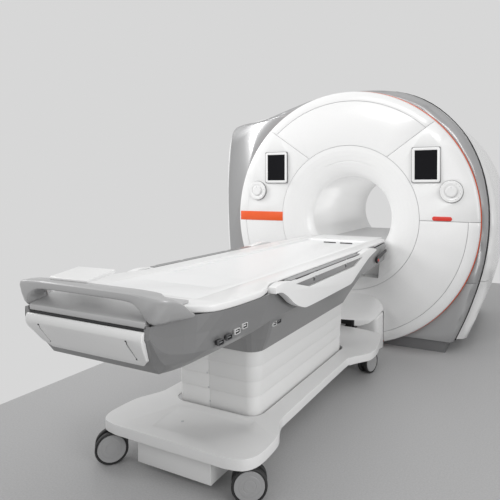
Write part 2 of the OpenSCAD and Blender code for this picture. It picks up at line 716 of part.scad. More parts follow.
// Table: foot end
// Each point of the handle's path holds x, y, top, underside, half width and how far the underside
// leans inwards
handle_seat = hull_top + seat;
handle_path = [[0, -3464, 955, 922, 36, 0], [200, -3464, 955, 921, 36, 0], [262, -3464, 954, 908, 37, 8],
    [308, -3462, 951, 876, 40, 28], [335, -3450, 944, handle_seat - 4, 44, 50],
    [350, -3420, 927, handle_seat - 4, 34, 42], [352, -3388, 905, handle_seat - 4, 27, 30],
    [351, -3354, 880, handle_seat - 4, 20, 18], [352, -3318, 858, handle_seat - 4, 11, 6]];
handle_side = smooth_line(handle_path, 3);
handle_line = concat([for (i = [len(handle_side) - 1 : -1 : 1]) let (q = handle_side[i])
    [-q[0], q[1], q[2], q[3], q[4], q[5]]], handle_side);
function flat_turn(p, i) = let (a = p[max(i - 1, 0)], b = p[min(i + 1, len(p) - 1)],
    v = [b[0] - a[0], b[1] - a[1]]) v / norm(v);
function boxed(v) = sign(v) * pow(abs(v), 0.5);
function bar_ring(c, t) = [for (a = [0 : 22.5 : 359]) let (u = c[4] * boxed(cos(a)), v = boxed(sin(a)))
    [c[0] + u * t[1] - sign(c[0]) * c[5] * (1 - v) / 2, c[1] - u * t[0],
    (c[2] + c[3]) / 2 + v * (c[2] - c[3]) / 2]];

module foot_handle() color(grey) difference() {
    loft([for (i = [0 : len(handle_line) - 1]) bar_ring(handle_line[i], flat_turn(handle_line, i))]);
    translate([0, 0, hull_top - 1]) linear_extrude(cover_t + 1 + seat) offset(delta = 1) cover_outline();
    block([-far, far], [-far, 0], [0, handle_seat]);
    across(-shelf_room, shelf_room) polygon(concat([[shelf_front - seat, 0],
        [shelf_front - seat, shelf_skin[0][1] + seat]], [for (p = shelf_skin) p + [0, seat]],
        [[shelf_skin[3][0], 0]]));
}

shelf_hw = 284;
shelf_flare = 8;
shelf_low = 838;
shelf_front = -3490;
shelf_back = -3400;
shelf_room = shelf_hw + shelf_flare + seat;
shelf_skin = [[shelf_front, 858], [-3484, 862], [-3392, 886], [-3262, 888]];
module foot_shelf() color([0.45, 0.46, 0.47]) difference() {
    across(-shelf_hw - shelf_flare, shelf_hw + shelf_flare) polygon(concat([[shelf_front, shelf_low]],
        shelf_skin, [[shelf_skin[3][0], table_z + seat], [-3318, table_z + seat], [-3390, 874],
        [-3462, 854], [-3462, shelf_low]]));
    for (side = [-1, 1]) along_bore(-far, 0) polygon([[side * shelf_hw, shelf_low - 20],
        [side * (shelf_hw + shelf_flare), 900], [side * far, 900], [side * far, 700]]);
}

// White cover on the slanted front of the hull, its back following the hull's first stations
cover_gap = 0.5;
cover_top = 829;
cover_face = concat([[hull_foot - cover_gap, cover_top]],
    [for (i = [0 : 2]) [stations[i][0] - cover_gap, stations[i][5]]],
    [[-3434, 688], [-3440, 696], [-3470, 738], [-3500, 780], [-3507, 800], [-3506, 816],
    [-3501, cover_top - 3], [-3496, cover_top]]);
groove_x = 218;
groove_hw = 3;
groove_deep = 7;
module foot_cover() color(white) difference() {
    across(-far, far) polygon(cover_face);
    for (side = [-1, 1]) along_bore(-far, 0) polygon([[side * 291, 840], [side * 288, 790],
        [side * 262, 715], [side * 240, 698], [side * 200, 660], [side * far, 660], [side * far, 840]]);
    for (side = [-1, 1]) difference() {
        block([side * groove_x - groove_hw, side * groove_x + groove_hw], [-far, 0], [714, 795]);
        across(-far, far) translate([groove_deep, 0]) polygon(cover_face);
    }
}

pad_front = [-118, -3440];
pad_low = handle_path[0][2] + seat;
module control_pad() color(white) translate([pad_front[0], pad_front[1], pad_low]) rotate([0, 0, 4])
    across(-95, 95) polygon([[-14, 0], [18, 0], [130, 14], [130, 26], [-8, 10], [-14, 6]]);

// Table: side rails
rail_top_edge = [[-2850, 868], [-2790, 878], [-2720, 873], [-2660, 869], [-1780, 869], [-1660, 874],
    [-1540, 884], [-1450, 880], [-1372, 862]];
rail_low_edge = [[-1372, 856], [-1530, 828], [-1660, 790], [-1790, 748], [-1880, 718], [-2000, 714],
    [-2470, 714], [-2570, 724], [-2660, 760], [-2730, 806], [-2790, 836], [-2850, 842]];
hinge_y = [-2420, -1960];
hinge_w = 9;
hinge_t = 8;
knuckle_len = 30;
// Grip recess in the outer face of the rail
grip_edge = [[-2650, 850], [-2500, 811], [-1830, 811], [-1670, 850]];
rail_skin = 8;

module side_rail(side) color(white) difference() {
    across(side * (rail_x + rail_t / 2) - rail_t / 2, side * (rail_x + rail_t / 2) + rail_t / 2)
        polygon(concat(smooth_line(rail_top_edge, 3), smooth_line(rail_low_edge, 3)));
    across(side * (rail_x + rail_skin + rail_t / 2) - rail_t / 2,
        side * (rail_x + rail_skin + rail_t / 2) + rail_t / 2) polygon(grip_edge);
    for (y = hinge_y) {
        block([-far, far], [y - hinge_w - 2, y + hinge_w + 2], [rail_axis_z - 36, far]);
        translate([side * rail_axis_x, y - hinge_w - knuckle_len, rail_axis_z]) rotate([-90, 0, 0])
            cylinder(r = rail_pin_r + run_fit, h = 2 * (hinge_w + knuckle_len));
    }
}
module side_rail_left() side_rail(-1);
module side_rail_right() side_rail(1);

module rail_hinges() color(steel) for (side = [-1, 1]) for (y = hinge_y) {
    translate([side * rail_axis_x, y - hinge_w - knuckle_len + 1, rail_axis_z]) rotate([-90, 0, 0])
        cylinder(r = rail_pin_r, h = 2 * (hinge_w + knuckle_len - 1));
    translate([side * rail_axis_x, y - hinge_w + 1, rail_axis_z]) rotate([-90, 0, 0])
        cylinder(r = rail_pin_r + 5, h = 2 * (hinge_w - 1));
    translate([side * (rail_axis_x + 344) / 2, y, hull_top - hinge_t / 2 - seat])
        cube([rail_axis_x - 344 + 16, 2 * (hinge_w - 1), hinge_t], center = true);
    translate([side * (rail_axis_x - 2), y, (rail_axis_z + hull_top - hinge_t) / 2])
        cube([12, 2 * (hinge_w - 1), rail_axis_z - hull_top + hinge_t], center = true);
}

// Table: release lever and button at the head end, coil sockets on the side
lever_y = -1140;
lever_z = 752;
lever_x = 360;
lever_t = 12;
lever_r = 24;
boss_r = 14;
boss_x = 336;
button_r = 10;
button_x = 350;
module release_lever() color(black) difference() {
    union() {
        translate([lever_x, lever_y, lever_z]) rotate([0, 90, 0]) cylinder(r = lever_r, h = lever_t);
        hull() {
            translate([lever_x, lever_y + 10, lever_z + 8]) rotate([0, 90, 0])
                cylinder(r = 14, h = lever_t, $fn = 32);
            translate([lever_x, lever_y + 230, lever_z + 44]) rotate([0, 90, 0])
                cylinder(r = 10, h = lever_t, $fn = 32);
        }
    }
    translate([lever_x - 1, lever_y, lever_z]) rotate([0, 90, 0])
        cylinder(r = boss_r + run_fit, h = lever_t + 2);
}

module stop_button() color(red) translate([button_x, lever_y, lever_z]) rotate([0, 90, 0])
    cylinder(r = button_r, h = 29);

rim_x = lever_x + lever_t + seat;
module coil_sockets() color(dark) {
    socket_blocks(0);
    translate([0, lever_y, lever_z]) rotate([0, 90, 0]) difference() {
        union() {
            translate([0, 0, boss_x]) cylinder(r = boss_r, h = rim_x - boss_x + 1);
            translate([0, 0, rim_x]) cylinder(r = boss_r + 3, h = 2);
        }
        translate([0, 0, button_x - 6]) cylinder(r = button_r + run_fit, h = 60);
    }
}

// Pedestal: telescoping sleeves, counted from the fixed one at 0 to the outer one at 3
base_floor = 118;
function sleeve_low_z(k) = k == 0 ? base_floor + seat : base_top + 85 + sleeve_step * (k - 1);
function sleeve_high_z(k) = k == 3 ? frame_z - seat : sleeve_low_z(k + 1) + 15;
module sleeve(k) color(white) let (inset = (3 - k) * (sleeve_wall + sleeve_gap))
    translate([0, 0, sleeve_low_z(k)]) linear_extrude(sleeve_high_z(k) - sleeve_low_z(k)) difference() {
        pedestal_outline(-inset);
        pedestal_outline(-inset - sleeve_wall);
    }
module sleeve_fixed() sleeve(0);
module sleeve_low() sleeve(1);
module sleeve_high() sleeve(2);
module sleeve_top() sleeve(3);

// Table base
function base_side(d) = smooth_line([[300 - d / 2, -3058 + d], [378 - d, -3040 + d],
    [416 - d, -2990 + d / 2], [424 - d, -2910], [416 - d, -2800], [385 - d, -2730], [358 - d, -2660],
    [355 - d, -2560], [355 - d, -1820], [368 - d, -1730], [415 - d, -1650], [452 - d, -1590],
    [462 - d, -1500], [452 - d, -1390], [424 - d, -1250], [384 - d, -1140 - d / 2],
    [290 - d / 2, -1100 - d], [146, -1072 - d]], 3);
module base_outline(d) polygon(concat(base_side(d), [for (i = [len(base_side(d)) - 1 : -1 : 0])
    [-base_side(d)[i][0], base_side(d)[i][1]]]));
opening_gap = 6;

module base_cover() color(white) difference() {
    translate([0, 0, base_low]) linear_extrude(base_top - base_low) base_outline(0);
    translate([0, 0, base_low - 1]) linear_extrude(base_top - base_low - base_wall + 1)
        base_outline(base_wall);
    translate([0, 0, base_low]) linear_extrude(100) pedestal_outline(opening_gap);
    block([-arm_hw - 1, arm_hw + 1], [-1120, -1060], [base_low - 1, dock_z + arm_t + seat]);
}

// Chassis of bars, plates and boxes bolted face to face
caster_x = [335, 362];
caster_y = [-2990, -1420];
stem_r = 10;
beam_hw = 34;
beam_low = 160;
beam_high = base_top - base_wall - seat;
chassis_hw = 205;
floor_t = 12;
chassis_boxes = [[-3012, -2722, 35], [-1502, -1340, 60]];
module caster_beam(i) difference() {
    block([-caster_x[i] - beam_hw, caster_x[i] + beam_hw],
        [caster_y[i] - beam_hw, caster_y[i] + beam_hw], [beam_low, beam_high]);
    for (side = [-1, 1]) translate([side * caster_x[i], caster_y[i], beam_low - 1])
        cylinder(r = stem_r + run_fit, h = 26);
}
module base_chassis() color(white) {
    for (b = chassis_boxes) block([-chassis_hw, chassis_hw], [b[0], b[1]], [b[2], beam_low - seat]);
    for (i = [0, 1]) caster_beam(i);
    block([-chassis_hw, chassis_hw], [chassis_boxes[0][1] + seat, chassis_boxes[1][0] - seat],
        [60, base_floor - floor_t - seat]);
    translate([0, 0, base_floor - floor_t]) linear_extrude(floor_t) pedestal_outline(-5);
    column(column_r, base_floor + seat, column_top_z);
    block([-arm_hw, arm_hw], [caster_y[1] + beam_hw + seat, socket_y[1] - 25], [dock_z, dock_z + arm_t]);
}

module at_caster(side, i, turn) translate([side * caster_x[i], caster_y[i], 0]) rotate([0, 0, turn])
    children();
axle_r = 8;
fork_hw = twin_gap - 1.5;
module fork(side, i, turn) color(dark) at_caster(side, i, turn) difference() {
    union() {
        translate([0, 0, 2 * wheel_r + 1.5]) cylinder(r = 24, h = beam_low - seat - 2 * wheel_r - 1.5);
        translate([0, 0, 2 * wheel_r + 2]) cylinder(r = stem_r, h = 30);
        intersection() {
            translate([-fork_hw, caster_trail, wheel_r]) rotate([0, 90, 0])
                cylinder(r = wheel_r - 12, h = 2 * fork_hw);
            block([-far, far], [-far, far], [wheel_r - 22, far]);
        }
        block([-fork_hw, fork_hw], [-20, caster_trail], [wheel_r + 20, 2 * wheel_r + 3]);
    }
    translate([-50, caster_trail, wheel_r]) rotate([0, 90, 0]) cylinder(r = axle_r + run_fit, h = 100);
}

module wheels(side, i, turn) color(black) at_caster(side, i, turn) translate([0, caster_trail, wheel_r])
    rotate([0, 90, 0]) {
        for (s = [-1, 1]) translate([0, 0, s > 0 ? twin_gap : -twin_gap - wheel_w])
            cylinder(r = wheel_r, h = wheel_w);
        translate([0, 0, -twin_gap - 1]) cylinder(r = axle_r, h = 2 * twin_gap + 2);
    }

turn_front_left = 136;
turn_front_right = -58;
turn_rear_left = -10;
turn_rear_right = -14;
module fork_front_left() fork(-1, 0, turn_front_left);
module fork_front_right() fork(1, 0, turn_front_right);
module fork_rear_left() fork(-1, 1, turn_rear_left);
module fork_rear_right() fork(1, 1, turn_rear_right);
module wheels_front_left() wheels(-1, 0, turn_front_left);
module wheels_front_right() wheels(1, 0, turn_front_right);
module wheels_rear_left() wheels(-1, 1, turn_rear_left);
module wheels_rear_right() wheels(1, 1, turn_rear_right);

magnet_vessel();
magnet_stand();
gradient_coil();
body_coil();
bore_tube();
bore_guide();
base_plinth();
cover_frame();
front_ring();
accent_ring();
front_panel_top();
front_panel_left();
front_panel_right();
front_panel_low_left();
front_panel_low_right();
front_funnel();
shroud_upper();
shroud_lower();
rear_shell();
rear_funnel();
dock_housing();
dock_socket();
screen_bezels();
screens();
dial_bases();
knob_left();
knob_right();
badge_plate();
pill_plate();
table_frame();
tabletop_drive();
table_cover();
tabletop();
hull_left();
hull_right();
foot_handle();
foot_shelf();
foot_cover();
control_pad();
side_rail_left();
side_rail_right();
rail_hinges();
release_lever();
stop_button();
coil_sockets();
sleeve_fixed();
sleeve_low();
sleeve_high();
sleeve_top();
lift_stage();
base_cover();
base_chassis();
fork_front_left();
fork_front_right();
fork_rear_left();
fork_rear_right();
wheels_front_left();
wheels_front_right();
wheels_rear_left();
wheels_rear_right();
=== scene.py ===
import json
import math
import bpy
from mathutils import Matrix, Vector


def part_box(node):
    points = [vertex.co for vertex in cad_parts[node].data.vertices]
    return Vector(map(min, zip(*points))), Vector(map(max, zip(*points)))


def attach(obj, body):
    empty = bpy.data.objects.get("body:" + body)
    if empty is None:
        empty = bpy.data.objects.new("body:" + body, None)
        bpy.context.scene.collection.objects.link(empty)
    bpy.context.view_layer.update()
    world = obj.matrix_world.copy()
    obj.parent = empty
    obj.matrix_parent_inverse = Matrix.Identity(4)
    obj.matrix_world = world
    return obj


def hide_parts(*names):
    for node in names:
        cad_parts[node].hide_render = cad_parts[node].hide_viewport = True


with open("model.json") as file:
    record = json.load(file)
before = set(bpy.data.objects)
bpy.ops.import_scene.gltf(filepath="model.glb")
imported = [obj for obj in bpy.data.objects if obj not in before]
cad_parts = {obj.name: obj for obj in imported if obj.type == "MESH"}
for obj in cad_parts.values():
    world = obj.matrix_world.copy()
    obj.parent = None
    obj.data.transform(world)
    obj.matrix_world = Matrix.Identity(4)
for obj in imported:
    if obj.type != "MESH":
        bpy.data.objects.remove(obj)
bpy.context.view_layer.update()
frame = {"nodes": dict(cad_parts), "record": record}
nodes = frame["nodes"]
bodyOf = {n: b for b, members in frame["record"]["behaviour"]["bodies"].items() for n in members}
slotOf = {s["node"]: s["material_slot"] for s in frame["record"]["subparts"]}
print("frame:", len(nodes), "nodes")

# Camera at the photograph's viewing angle
photoView = {
    "place": (1.430, -4.705, 1.309),
    "yaw": 27.016,
    "pitch": 1.100,
    "lens": 35.497,
    "shift": (-0.0740, -0.1106),
}


def aimAlong(thing, direction):
    thing.rotation_euler = direction.to_track_quat("-Z", "Y").to_euler()


def makeCamera():
    yaw, pitch = math.radians(photoView["yaw"]), math.radians(photoView["pitch"])
    bpy.ops.object.camera_add(location=photoView["place"])
    camera = bpy.context.object
    camera.name = "photoCamera"
    camera.data.sensor_width = 36
    camera.data.lens = photoView["lens"]
    camera.data.shift_x, camera.data.shift_y = photoView["shift"]
    aimAlong(camera, Vector((-math.sin(yaw) * math.cos(pitch), math.cos(yaw) * math.cos(pitch),
                             -math.sin(pitch))))
    bpy.context.scene.camera = camera
    bpy.context.scene.view_settings.view_transform = "Standard"
    print("camera done")


# Soft light from panels above, in front, at both sides and in the bore
softLight = {
    "ambient": 0.72,
    "background": (0.68, 0.68, 0.68),
    "lamps": {
        # name: place, point aimed at, width, height, watts, spread in degrees
        "topPanel": ((-0.4, -2.6, 4.2), (-0.4, -2.6, 0.0), 5.0, 4.5, 19, 180),
        "facePanel": ((-0.2, -4.8, 3.0), (0.0, -0.8, 1.35), 1.8, 0.9, 8.5, 70),
        "sidePanel": ((4.2, -4.2, 1.9), (0.0, -2.6, 0.6), 2.4, 1.8, 17, 80),
        "leftPanel": ((-4.6, -2.6, 3.2), (-0.8, -0.6, 1.3), 1.6, 1.6, 26, 90),
        "borePanel": ((0.0, 0.0, 0.93), (0.0, 0.0, 1.40), 0.50, 1.20, 1.9, 180),
    },
}
# The camera and mirrors see a plain background, and an even white lights the object
def makeWorld():
    world = bpy.data.worlds.new("paleBackground")
    bpy.context.scene.world = world
    world.use_nodes = True
    tree = world.node_tree
    tree.nodes.clear()
    out = tree.nodes.new("ShaderNodeOutputWorld")
    ambient = tree.nodes.new("ShaderNodeBackground")
    ambient.inputs["Color"].default_value = (1, 1, 1, 1)
    ambient.inputs["Strength"].default_value = softLight["ambient"]
    seen = tree.nodes.new("ShaderNodeBackground")
    seen.inputs["Color"].default_value = (*softLight["background"], 1)
    rays = tree.nodes.new("ShaderNodeLightPath")
    eitherRay = tree.nodes.new("ShaderNodeMath")
    eitherRay.operation = "MAXIMUM"
    anyRay = tree.nodes.new("ShaderNodeMath")
    anyRay.operation = "MAXIMUM"
    mix = tree.nodes.new("ShaderNodeMixShader")
    tree.links.new(rays.outputs["Is Camera Ray"], eitherRay.inputs[0])
    tree.links.new(rays.outputs["Is Glossy Ray"], eitherRay.inputs[1])
    tree.links.new(eitherRay.outputs[0], anyRay.inputs[0])
    tree.links.new(rays.outputs["Is Transmission Ray"], anyRay.inputs[1])
    tree.links.new(anyRay.outputs[0], mix.inputs["Fac"])
    tree.links.new(ambient.outputs[0], mix.inputs[1])
    tree.links.new(seen.outputs[0], mix.inputs[2])
    tree.links.new(mix.outputs[0], out.inputs["Surface"])


def makeLamps():
    for name, (place, target, width, height, watts, spread) in softLight["lamps"].items():
        bpy.ops.object.light_add(type="AREA", location=place)
        lamp = bpy.context.object
        lamp.name = name
        lamp.data.shape = "RECTANGLE"
        lamp.data.size, lamp.data.size_y = width, height
        lamp.data.energy = watts
        lamp.data.spread = math.radians(spread)
        lamp.visible_camera = False
        aimAlong(lamp, Vector(target) - Vector(place))
    print("lamps:", len(softLight["lamps"]))


# Pale floor that ends a little behind the machine and to its left
floorFinish = {
    "low": (-1.42, -9.0), "high": (9.0, 2.42),
    "tone": (0.50, 0.50, 0.502), "speck": (0.36, 0.36, 0.363), "speckScale": 130, "roughness": 0.5,
}


def makeFloor():
    bpy.ops.mesh.primitive_plane_add(size=1, location=(0, 0, 0))
    floor = named("floor")
    (lowX, lowY), (highX, highY) = floorFinish["low"], floorFinish["high"]
    for vertex in floor.data.vertices:
        vertex.co.x = highX if vertex.co.x > 0 else lowX
        vertex.co.y = highY if vertex.co.y > 0 else lowY
    material = bpy.data.materials.new("floor")
    material.use_nodes = True
    tree = material.node_tree
    shader = tree.nodes["Principled BSDF"]
    shader.inputs["Roughness"].default_value = floorFinish["roughness"]
    place = tree.nodes.new("ShaderNodeTexCoord")
    specks = tree.nodes.new("ShaderNodeTexNoise")
    specks.inputs["Scale"].default_value = floorFinish["speckScale"]
    tones = tree.nodes.new("ShaderNodeMix")
    tones.data_type = "RGBA"
    tones.inputs[6].default_value = (*floorFinish["tone"], 1)
    tones.inputs[7].default_value = (*floorFinish["speck"], 1)
    tree.links.new(place.outputs["Object"], specks.inputs["Vector"])
    tree.links.new(specks.outputs["Fac"], tones.inputs[0])
    tree.links.new(tones.outputs[2], shader.inputs["Base Color"])
    floor.data.materials.append(material)
    print("floor done")


# What painted and moulded surfaces share: patches of a second tone, and a fine grain
def buildSurfaceGroup():
    group = bpy.data.node_groups.new("paintedSurface", "ShaderNodeTree")
    for label, kind in (("Tone", "Color"), ("Second Tone", "Color"), ("Patch Scale", "Float"),
                        ("Grain Scale", "Float"), ("Low Roughness", "Float"), ("High Roughness", "Float")):
        group.interface.new_socket(label, in_out="INPUT", socket_type="NodeSocket" + kind)
    for label, kind in (("Color", "Color"), ("Roughness", "Float"), ("Height", "Float")):
        group.interface.new_socket(label, in_out="OUTPUT", socket_type="NodeSocket" + kind)
    given = group.nodes.new("NodeGroupInput")
    result = group.nodes.new("NodeGroupOutput")
    place = group.nodes.new("ShaderNodeTexCoord")
    patches = group.nodes.new("ShaderNodeTexNoise")
    patches.inputs["Detail"].default_value = 3
    grain = group.nodes.new("ShaderNodeTexNoise")
    grain.inputs["Detail"].default_value = 2
    tones = group.nodes.new("ShaderNodeMix")
    tones.data_type = "RGBA"
    rough = group.nodes.new("ShaderNodeMix")
    link = group.links.new
    link(place.outputs["Object"], patches.inputs["Vector"])
    link(place.outputs["Object"], grain.inputs["Vector"])
    link(given.outputs["Patch Scale"], patches.inputs["Scale"])
    link(given.outputs["Grain Scale"], grain.inputs["Scale"])
    link(patches.outputs["Fac"], tones.inputs[0])
    link(given.outputs["Tone"], tones.inputs[6])
    link(given.outputs["Second Tone"], tones.inputs[7])
    link(tones.outputs[2], result.inputs["Color"])
    link(grain.outputs["Fac"], rough.inputs[0])
    link(given.outputs["Low Roughness"], rough.inputs[2])
    link(given.outputs["High Roughness"], rough.inputs[3])
    link(rough.outputs[0], result.inputs["Roughness"])
    link(grain.outputs["Fac"], result.inputs["Height"])
    return group


# Each finish: tone, second tone, patch scale, grain scale, lowest and highest roughness, bump depth,
# metallic, coat
finishes = {
    "white_cover": ((0.79, 0.79, 0.785), (0.765, 0.765, 0.765), 1.1, 700, 0.24, 0.32, 0.00004, 0, 0.25),
    "table_white": ((0.81, 0.81, 0.805), (0.78, 0.78, 0.78), 1.6, 800, 0.28, 0.38, 0.00005, 0, 0.15),
    "tabletop_white": ((0.80, 0.80, 0.80), (0.775, 0.78, 0.78), 2.2, 1100, 0.34, 0.46, 0.00007, 0, 0),
    "base_white": ((0.74, 0.74, 0.735), (0.70, 0.70, 0.70), 2.0, 800, 0.30, 0.42, 0.00005, 0, 0.1),
    "sleeve_white": ((0.74, 0.74, 0.735), (0.71, 0.71, 0.705), 2.4, 900, 0.36, 0.46, 0.00006, 0, 0),
    "bezel_plastic": ((0.76, 0.76, 0.755), (0.73, 0.73, 0.73), 9.0, 1500, 0.30, 0.40, 0.00003, 0, 0.1),
    "grey_cover": ((0.27, 0.27, 0.272), (0.245, 0.245, 0.247), 1.4, 2600, 0.30, 0.42, 0.00003, 0.35, 0.3),
    "grey_handle": ((0.46, 0.46, 0.462), (0.43, 0.43, 0.432), 2.0, 2600, 0.30, 0.42, 0.00003, 0.3, 0.3),
    "grey_shelf": ((0.52, 0.52, 0.522), (0.48, 0.48, 0.482), 3.0, 2000, 0.34, 0.46, 0.00004, 0.2, 0.1),
    "black_plastic": ((0.020, 0.020, 0.022), (0.013, 0.013, 0.014), 20, 2200, 0.36, 0.52, 0.00006, 0, 0),
    "dark_plastic": ((0.16, 0.16, 0.163), (0.14, 0.14, 0.143), 8, 1800, 0.42, 0.56, 0.00006, 0, 0),
    "screen_glass": ((0.006, 0.006, 0.007), (0.009, 0.009, 0.011), 6, 60, 0.06, 0.10, 0.0, 0, 0),
    "orange_accent": ((0.80, 0.105, 0.015), (0.74, 0.09, 0.012), 12, 1500, 0.26, 0.34, 0.00003, 0, 0.3),
    "red_label": ((0.68, 0.035, 0.02), (0.60, 0.028, 0.016), 18, 1500, 0.28, 0.36, 0.00003, 0, 0.3),
    "painted_steel": ((0.50, 0.51, 0.52), (0.46, 0.47, 0.48), 3, 1500, 0.38, 0.50, 0.00008, 0.2, 0),
    "bright_steel": ((0.60, 0.61, 0.62), (0.52, 0.53, 0.54), 30, 900, 0.22, 0.36, 0.00004, 1, 0),
    "resin": ((0.48, 0.32, 0.12), (0.42, 0.27, 0.10), 6, 300, 0.40, 0.55, 0.0001, 0, 0),
    "copper_resin": ((0.42, 0.16, 0.07), (0.36, 0.13, 0.055), 8, 400, 0.35, 0.50, 0.0001, 0.2, 0),
    "caster_plastic": ((0.045, 0.045, 0.047), (0.035, 0.035, 0.037), 14, 1800, 0.36, 0.50, 0.00005, 0, 0),
    "wheel_disc": ((0.33, 0.33, 0.333), (0.30, 0.30, 0.303), 14, 1600, 0.34, 0.46, 0.00005, 0, 0),
    "rail_bar": ((0.16, 0.16, 0.165), (0.14, 0.14, 0.144), 10, 1600, 0.30, 0.42, 0.00004, 0.4, 0),
    "tyre": ((0.016, 0.016, 0.017), (0.026, 0.026, 0.026), 30, 1400, 0.55, 0.72, 0.0001, 0, 0),
    # the shroud's copy of the grey cover paint, made lighter as painted light
    "grey_cover_painted_light": ((0.38, 0.38, 0.383), (0.35, 0.35, 0.353), 1.4, 2600, 0.28, 0.38, 0.00003, 0.4, 0.3),
    # grey of the bore guide: painted shade at the bottom of the bore
    "bore_shade_grey": ((0.56, 0.56, 0.563), (0.52, 0.52, 0.522), 6, 1600, 0.36, 0.48, 0.00005, 0, 0),
}
shine = {"screen_glass": 0.10}  # finishes that reflect less than the usual 0.5
bumpStrength = 0.6
paints = {}


def paint(slot):
    if slot in paints:
        return paints[slot]
    tone, second, patch, grain, low, high, depth, metal, coat = finishes[slot]
    material = bpy.data.materials.new(slot)
    material.use_nodes = True
    tree = material.node_tree
    shader = tree.nodes["Principled BSDF"]
    shader.inputs["Metallic"].default_value = metal
    shader.inputs["Coat Weight"].default_value = coat
    shader.inputs["Specular IOR Level"].default_value = shine.get(slot, 0.5)
    surface = tree.nodes.new("ShaderNodeGroup")
    surface.node_tree = surfaceGroup
    surface.inputs["Tone"].default_value = (*tone, 1)
    surface.inputs["Second Tone"].default_value = (*second, 1)
    surface.inputs["Patch Scale"].default_value = patch
    surface.inputs["Grain Scale"].default_value = grain
    surface.inputs["Low Roughness"].default_value = low
    surface.inputs["High Roughness"].default_value = high
    bump = tree.nodes.new("ShaderNodeBump")
    bump.inputs["Strength"].default_value = bumpStrength
    bump.inputs["Distance"].default_value = depth
    tree.links.new(surface.outputs["Color"], shader.inputs["Base Color"])
    tree.links.new(surface.outputs["Roughness"], shader.inputs["Roughness"])
    tree.links.new(surface.outputs["Height"], bump.inputs["Height"])
    tree.links.new(bump.outputs["Normal"], shader.inputs["Normal"])
    paints[slot] = material
    return material


# Helpers for modelling
def pick(*things):
    bpy.ops.object.select_all(action="DESELECT")
    for thing in things:
        thing.select_set(True)
    bpy.context.view_layer.objects.active = things[0]


def editing(thing):
    pick(thing)
    bpy.ops.object.mode_set(mode="EDIT")
    bpy.ops.mesh.select_all(action="SELECT")


def done():
    bpy.ops.object.mode_set(mode="OBJECT")


def applyModifier(thing, kind, **settings):
    pick(thing)
    modifier = thing.modifiers.new(kind.lower(), kind)
    for name, value in settings.items():
        setattr(modifier, name, value)
    bpy.ops.object.modifier_apply(modifier=modifier.name)


def roundEdges(thing, width, steps, fromAngle=32):
    applyModifier(thing, "BEVEL", width=width, segments=steps, limit_method="ANGLE",
                  angle_limit=math.radians(fromAngle), use_clamp_overlap=True)


# Rounds only the sharp edges whose two ends pass the test
def roundSome(thing, width, steps, fromAngle, test):
    mesh = thing.data
    normals = {}
    for polygon in mesh.polygons:
        for key in polygon.edge_keys:
            normals.setdefault(key, []).append(polygon.normal.copy())
    weights = mesh.attributes.new("bevel_weight_edge", "FLOAT", "EDGE")
    for edge in mesh.edges:
        sides = normals.get(edge.key, [])
        first, second = (mesh.vertices[i].co for i in edge.key)
        sharp = len(sides) == 2 and sides[0].angle(sides[1], 0) > math.radians(fromAngle)
        weights.data[edge.index].value = 1.0 if sharp and test(first, second) else 0.0
    applyModifier(thing, "BEVEL", width=width, segments=steps, limit_method="WEIGHT",
                  use_clamp_overlap=True)


def smooth(thing, angle=38):
    pick(thing)
    bpy.ops.object.shade_smooth_by_angle(angle=math.radians(angle))


def settle(thing, body, slot, *stood, finish=None):
    thing.data.materials.clear()
    thing.data.materials.append(paint(finish or slot))
    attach(thing, body)
    if stood:
        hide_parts(*stood)


# Copy of a CAD solid with its triangles merged, and its flat faces joined where that is wanted
mergeWithin = 0.00002
flatWithin = 0.6  # degrees


def copyOfNode(node, name, joinFlat=True):
    thing = bpy.data.objects.new(name, nodes[node].data.copy())
    bpy.context.scene.collection.objects.link(thing)
    editing(thing)
    bpy.ops.mesh.remove_doubles(threshold=mergeWithin)
    if joinFlat:
        bpy.ops.mesh.dissolve_limited(angle_limit=math.radians(flatWithin))
    done()
    return thing


def named(name):
    thing = bpy.context.object
    thing.name = name
    bpy.ops.object.transform_apply(location=True, rotation=True, scale=True)
    return thing


def boxPiece(name, low, high):
    low, high = Vector(low), Vector(high)
    bpy.ops.mesh.primitive_cube_add(size=1, location=(low + high) / 2)
    bpy.context.object.scale = high - low
    return named(name)


# Box on one side of the table or mirrored on the other: its spans across, along and up
def sideBox(name, sign, across, along, up):
    near, far = sorted(sign * x for x in across)
    return boxPiece(name, (near, along[0], up[0]), (far, along[1], up[1]))


def outwards(thing):
    editing(thing)
    bpy.ops.mesh.normals_make_consistent(inside=False)
    done()


# Turned piece on the z axis through (height, radius) pairs
def turned(name, profile, segments=96):
    bpy.ops.mesh.primitive_circle_add(vertices=segments, radius=profile[0][1], fill_type="NGON",
                                      location=(0, 0, profile[0][0]))
    thing = named(name)
    editing(thing)
    for (height, radius), (nextHeight, nextRadius) in zip(profile, profile[1:]):
        bpy.ops.mesh.extrude_region_move(TRANSFORM_OT_translate={"value": (0, 0, nextHeight - height)})
        bpy.ops.transform.resize(value=(nextRadius / radius, nextRadius / radius, 1),
                                 center_override=(0, 0, 0))
    done()
    outwards(thing)
    return thing


# Flat piece with an outline of two coordinates, from low to high along the axis
def slab(name, outline, axis, low, high):
    spot = {"x": lambda a, b: (low, a, b), "y": lambda a, b: (a, low, b),
            "z": lambda a, b: (a, b, low)}[axis]
    bpy.ops.mesh.primitive_circle_add(vertices=len(outline), radius=1, fill_type="NGON")
    thing = named(name)
    for vertex, (a, b) in zip(thing.data.vertices, outline):
        vertex.co = spot(a, b)
    editing(thing)
    step = Vector([high - low if letter == axis else 0 for letter in "xyz"])
    bpy.ops.mesh.extrude_region_move(TRANSFORM_OT_translate={"value": step})
    done()
    outwards(thing)
    return thing


# Copy of a turned piece with its foot at the place and its own axis along the one given
def copyTo(source, name, place, axis=(0, 0, 1)):
    thing = bpy.data.objects.new(name, source.data.copy())
    bpy.context.scene.collection.objects.link(thing)
    turn = Vector(axis).to_track_quat("Z", "Y").to_matrix().to_4x4()
    thing.data.transform(Matrix.Translation(place) @ turn)
    return thing


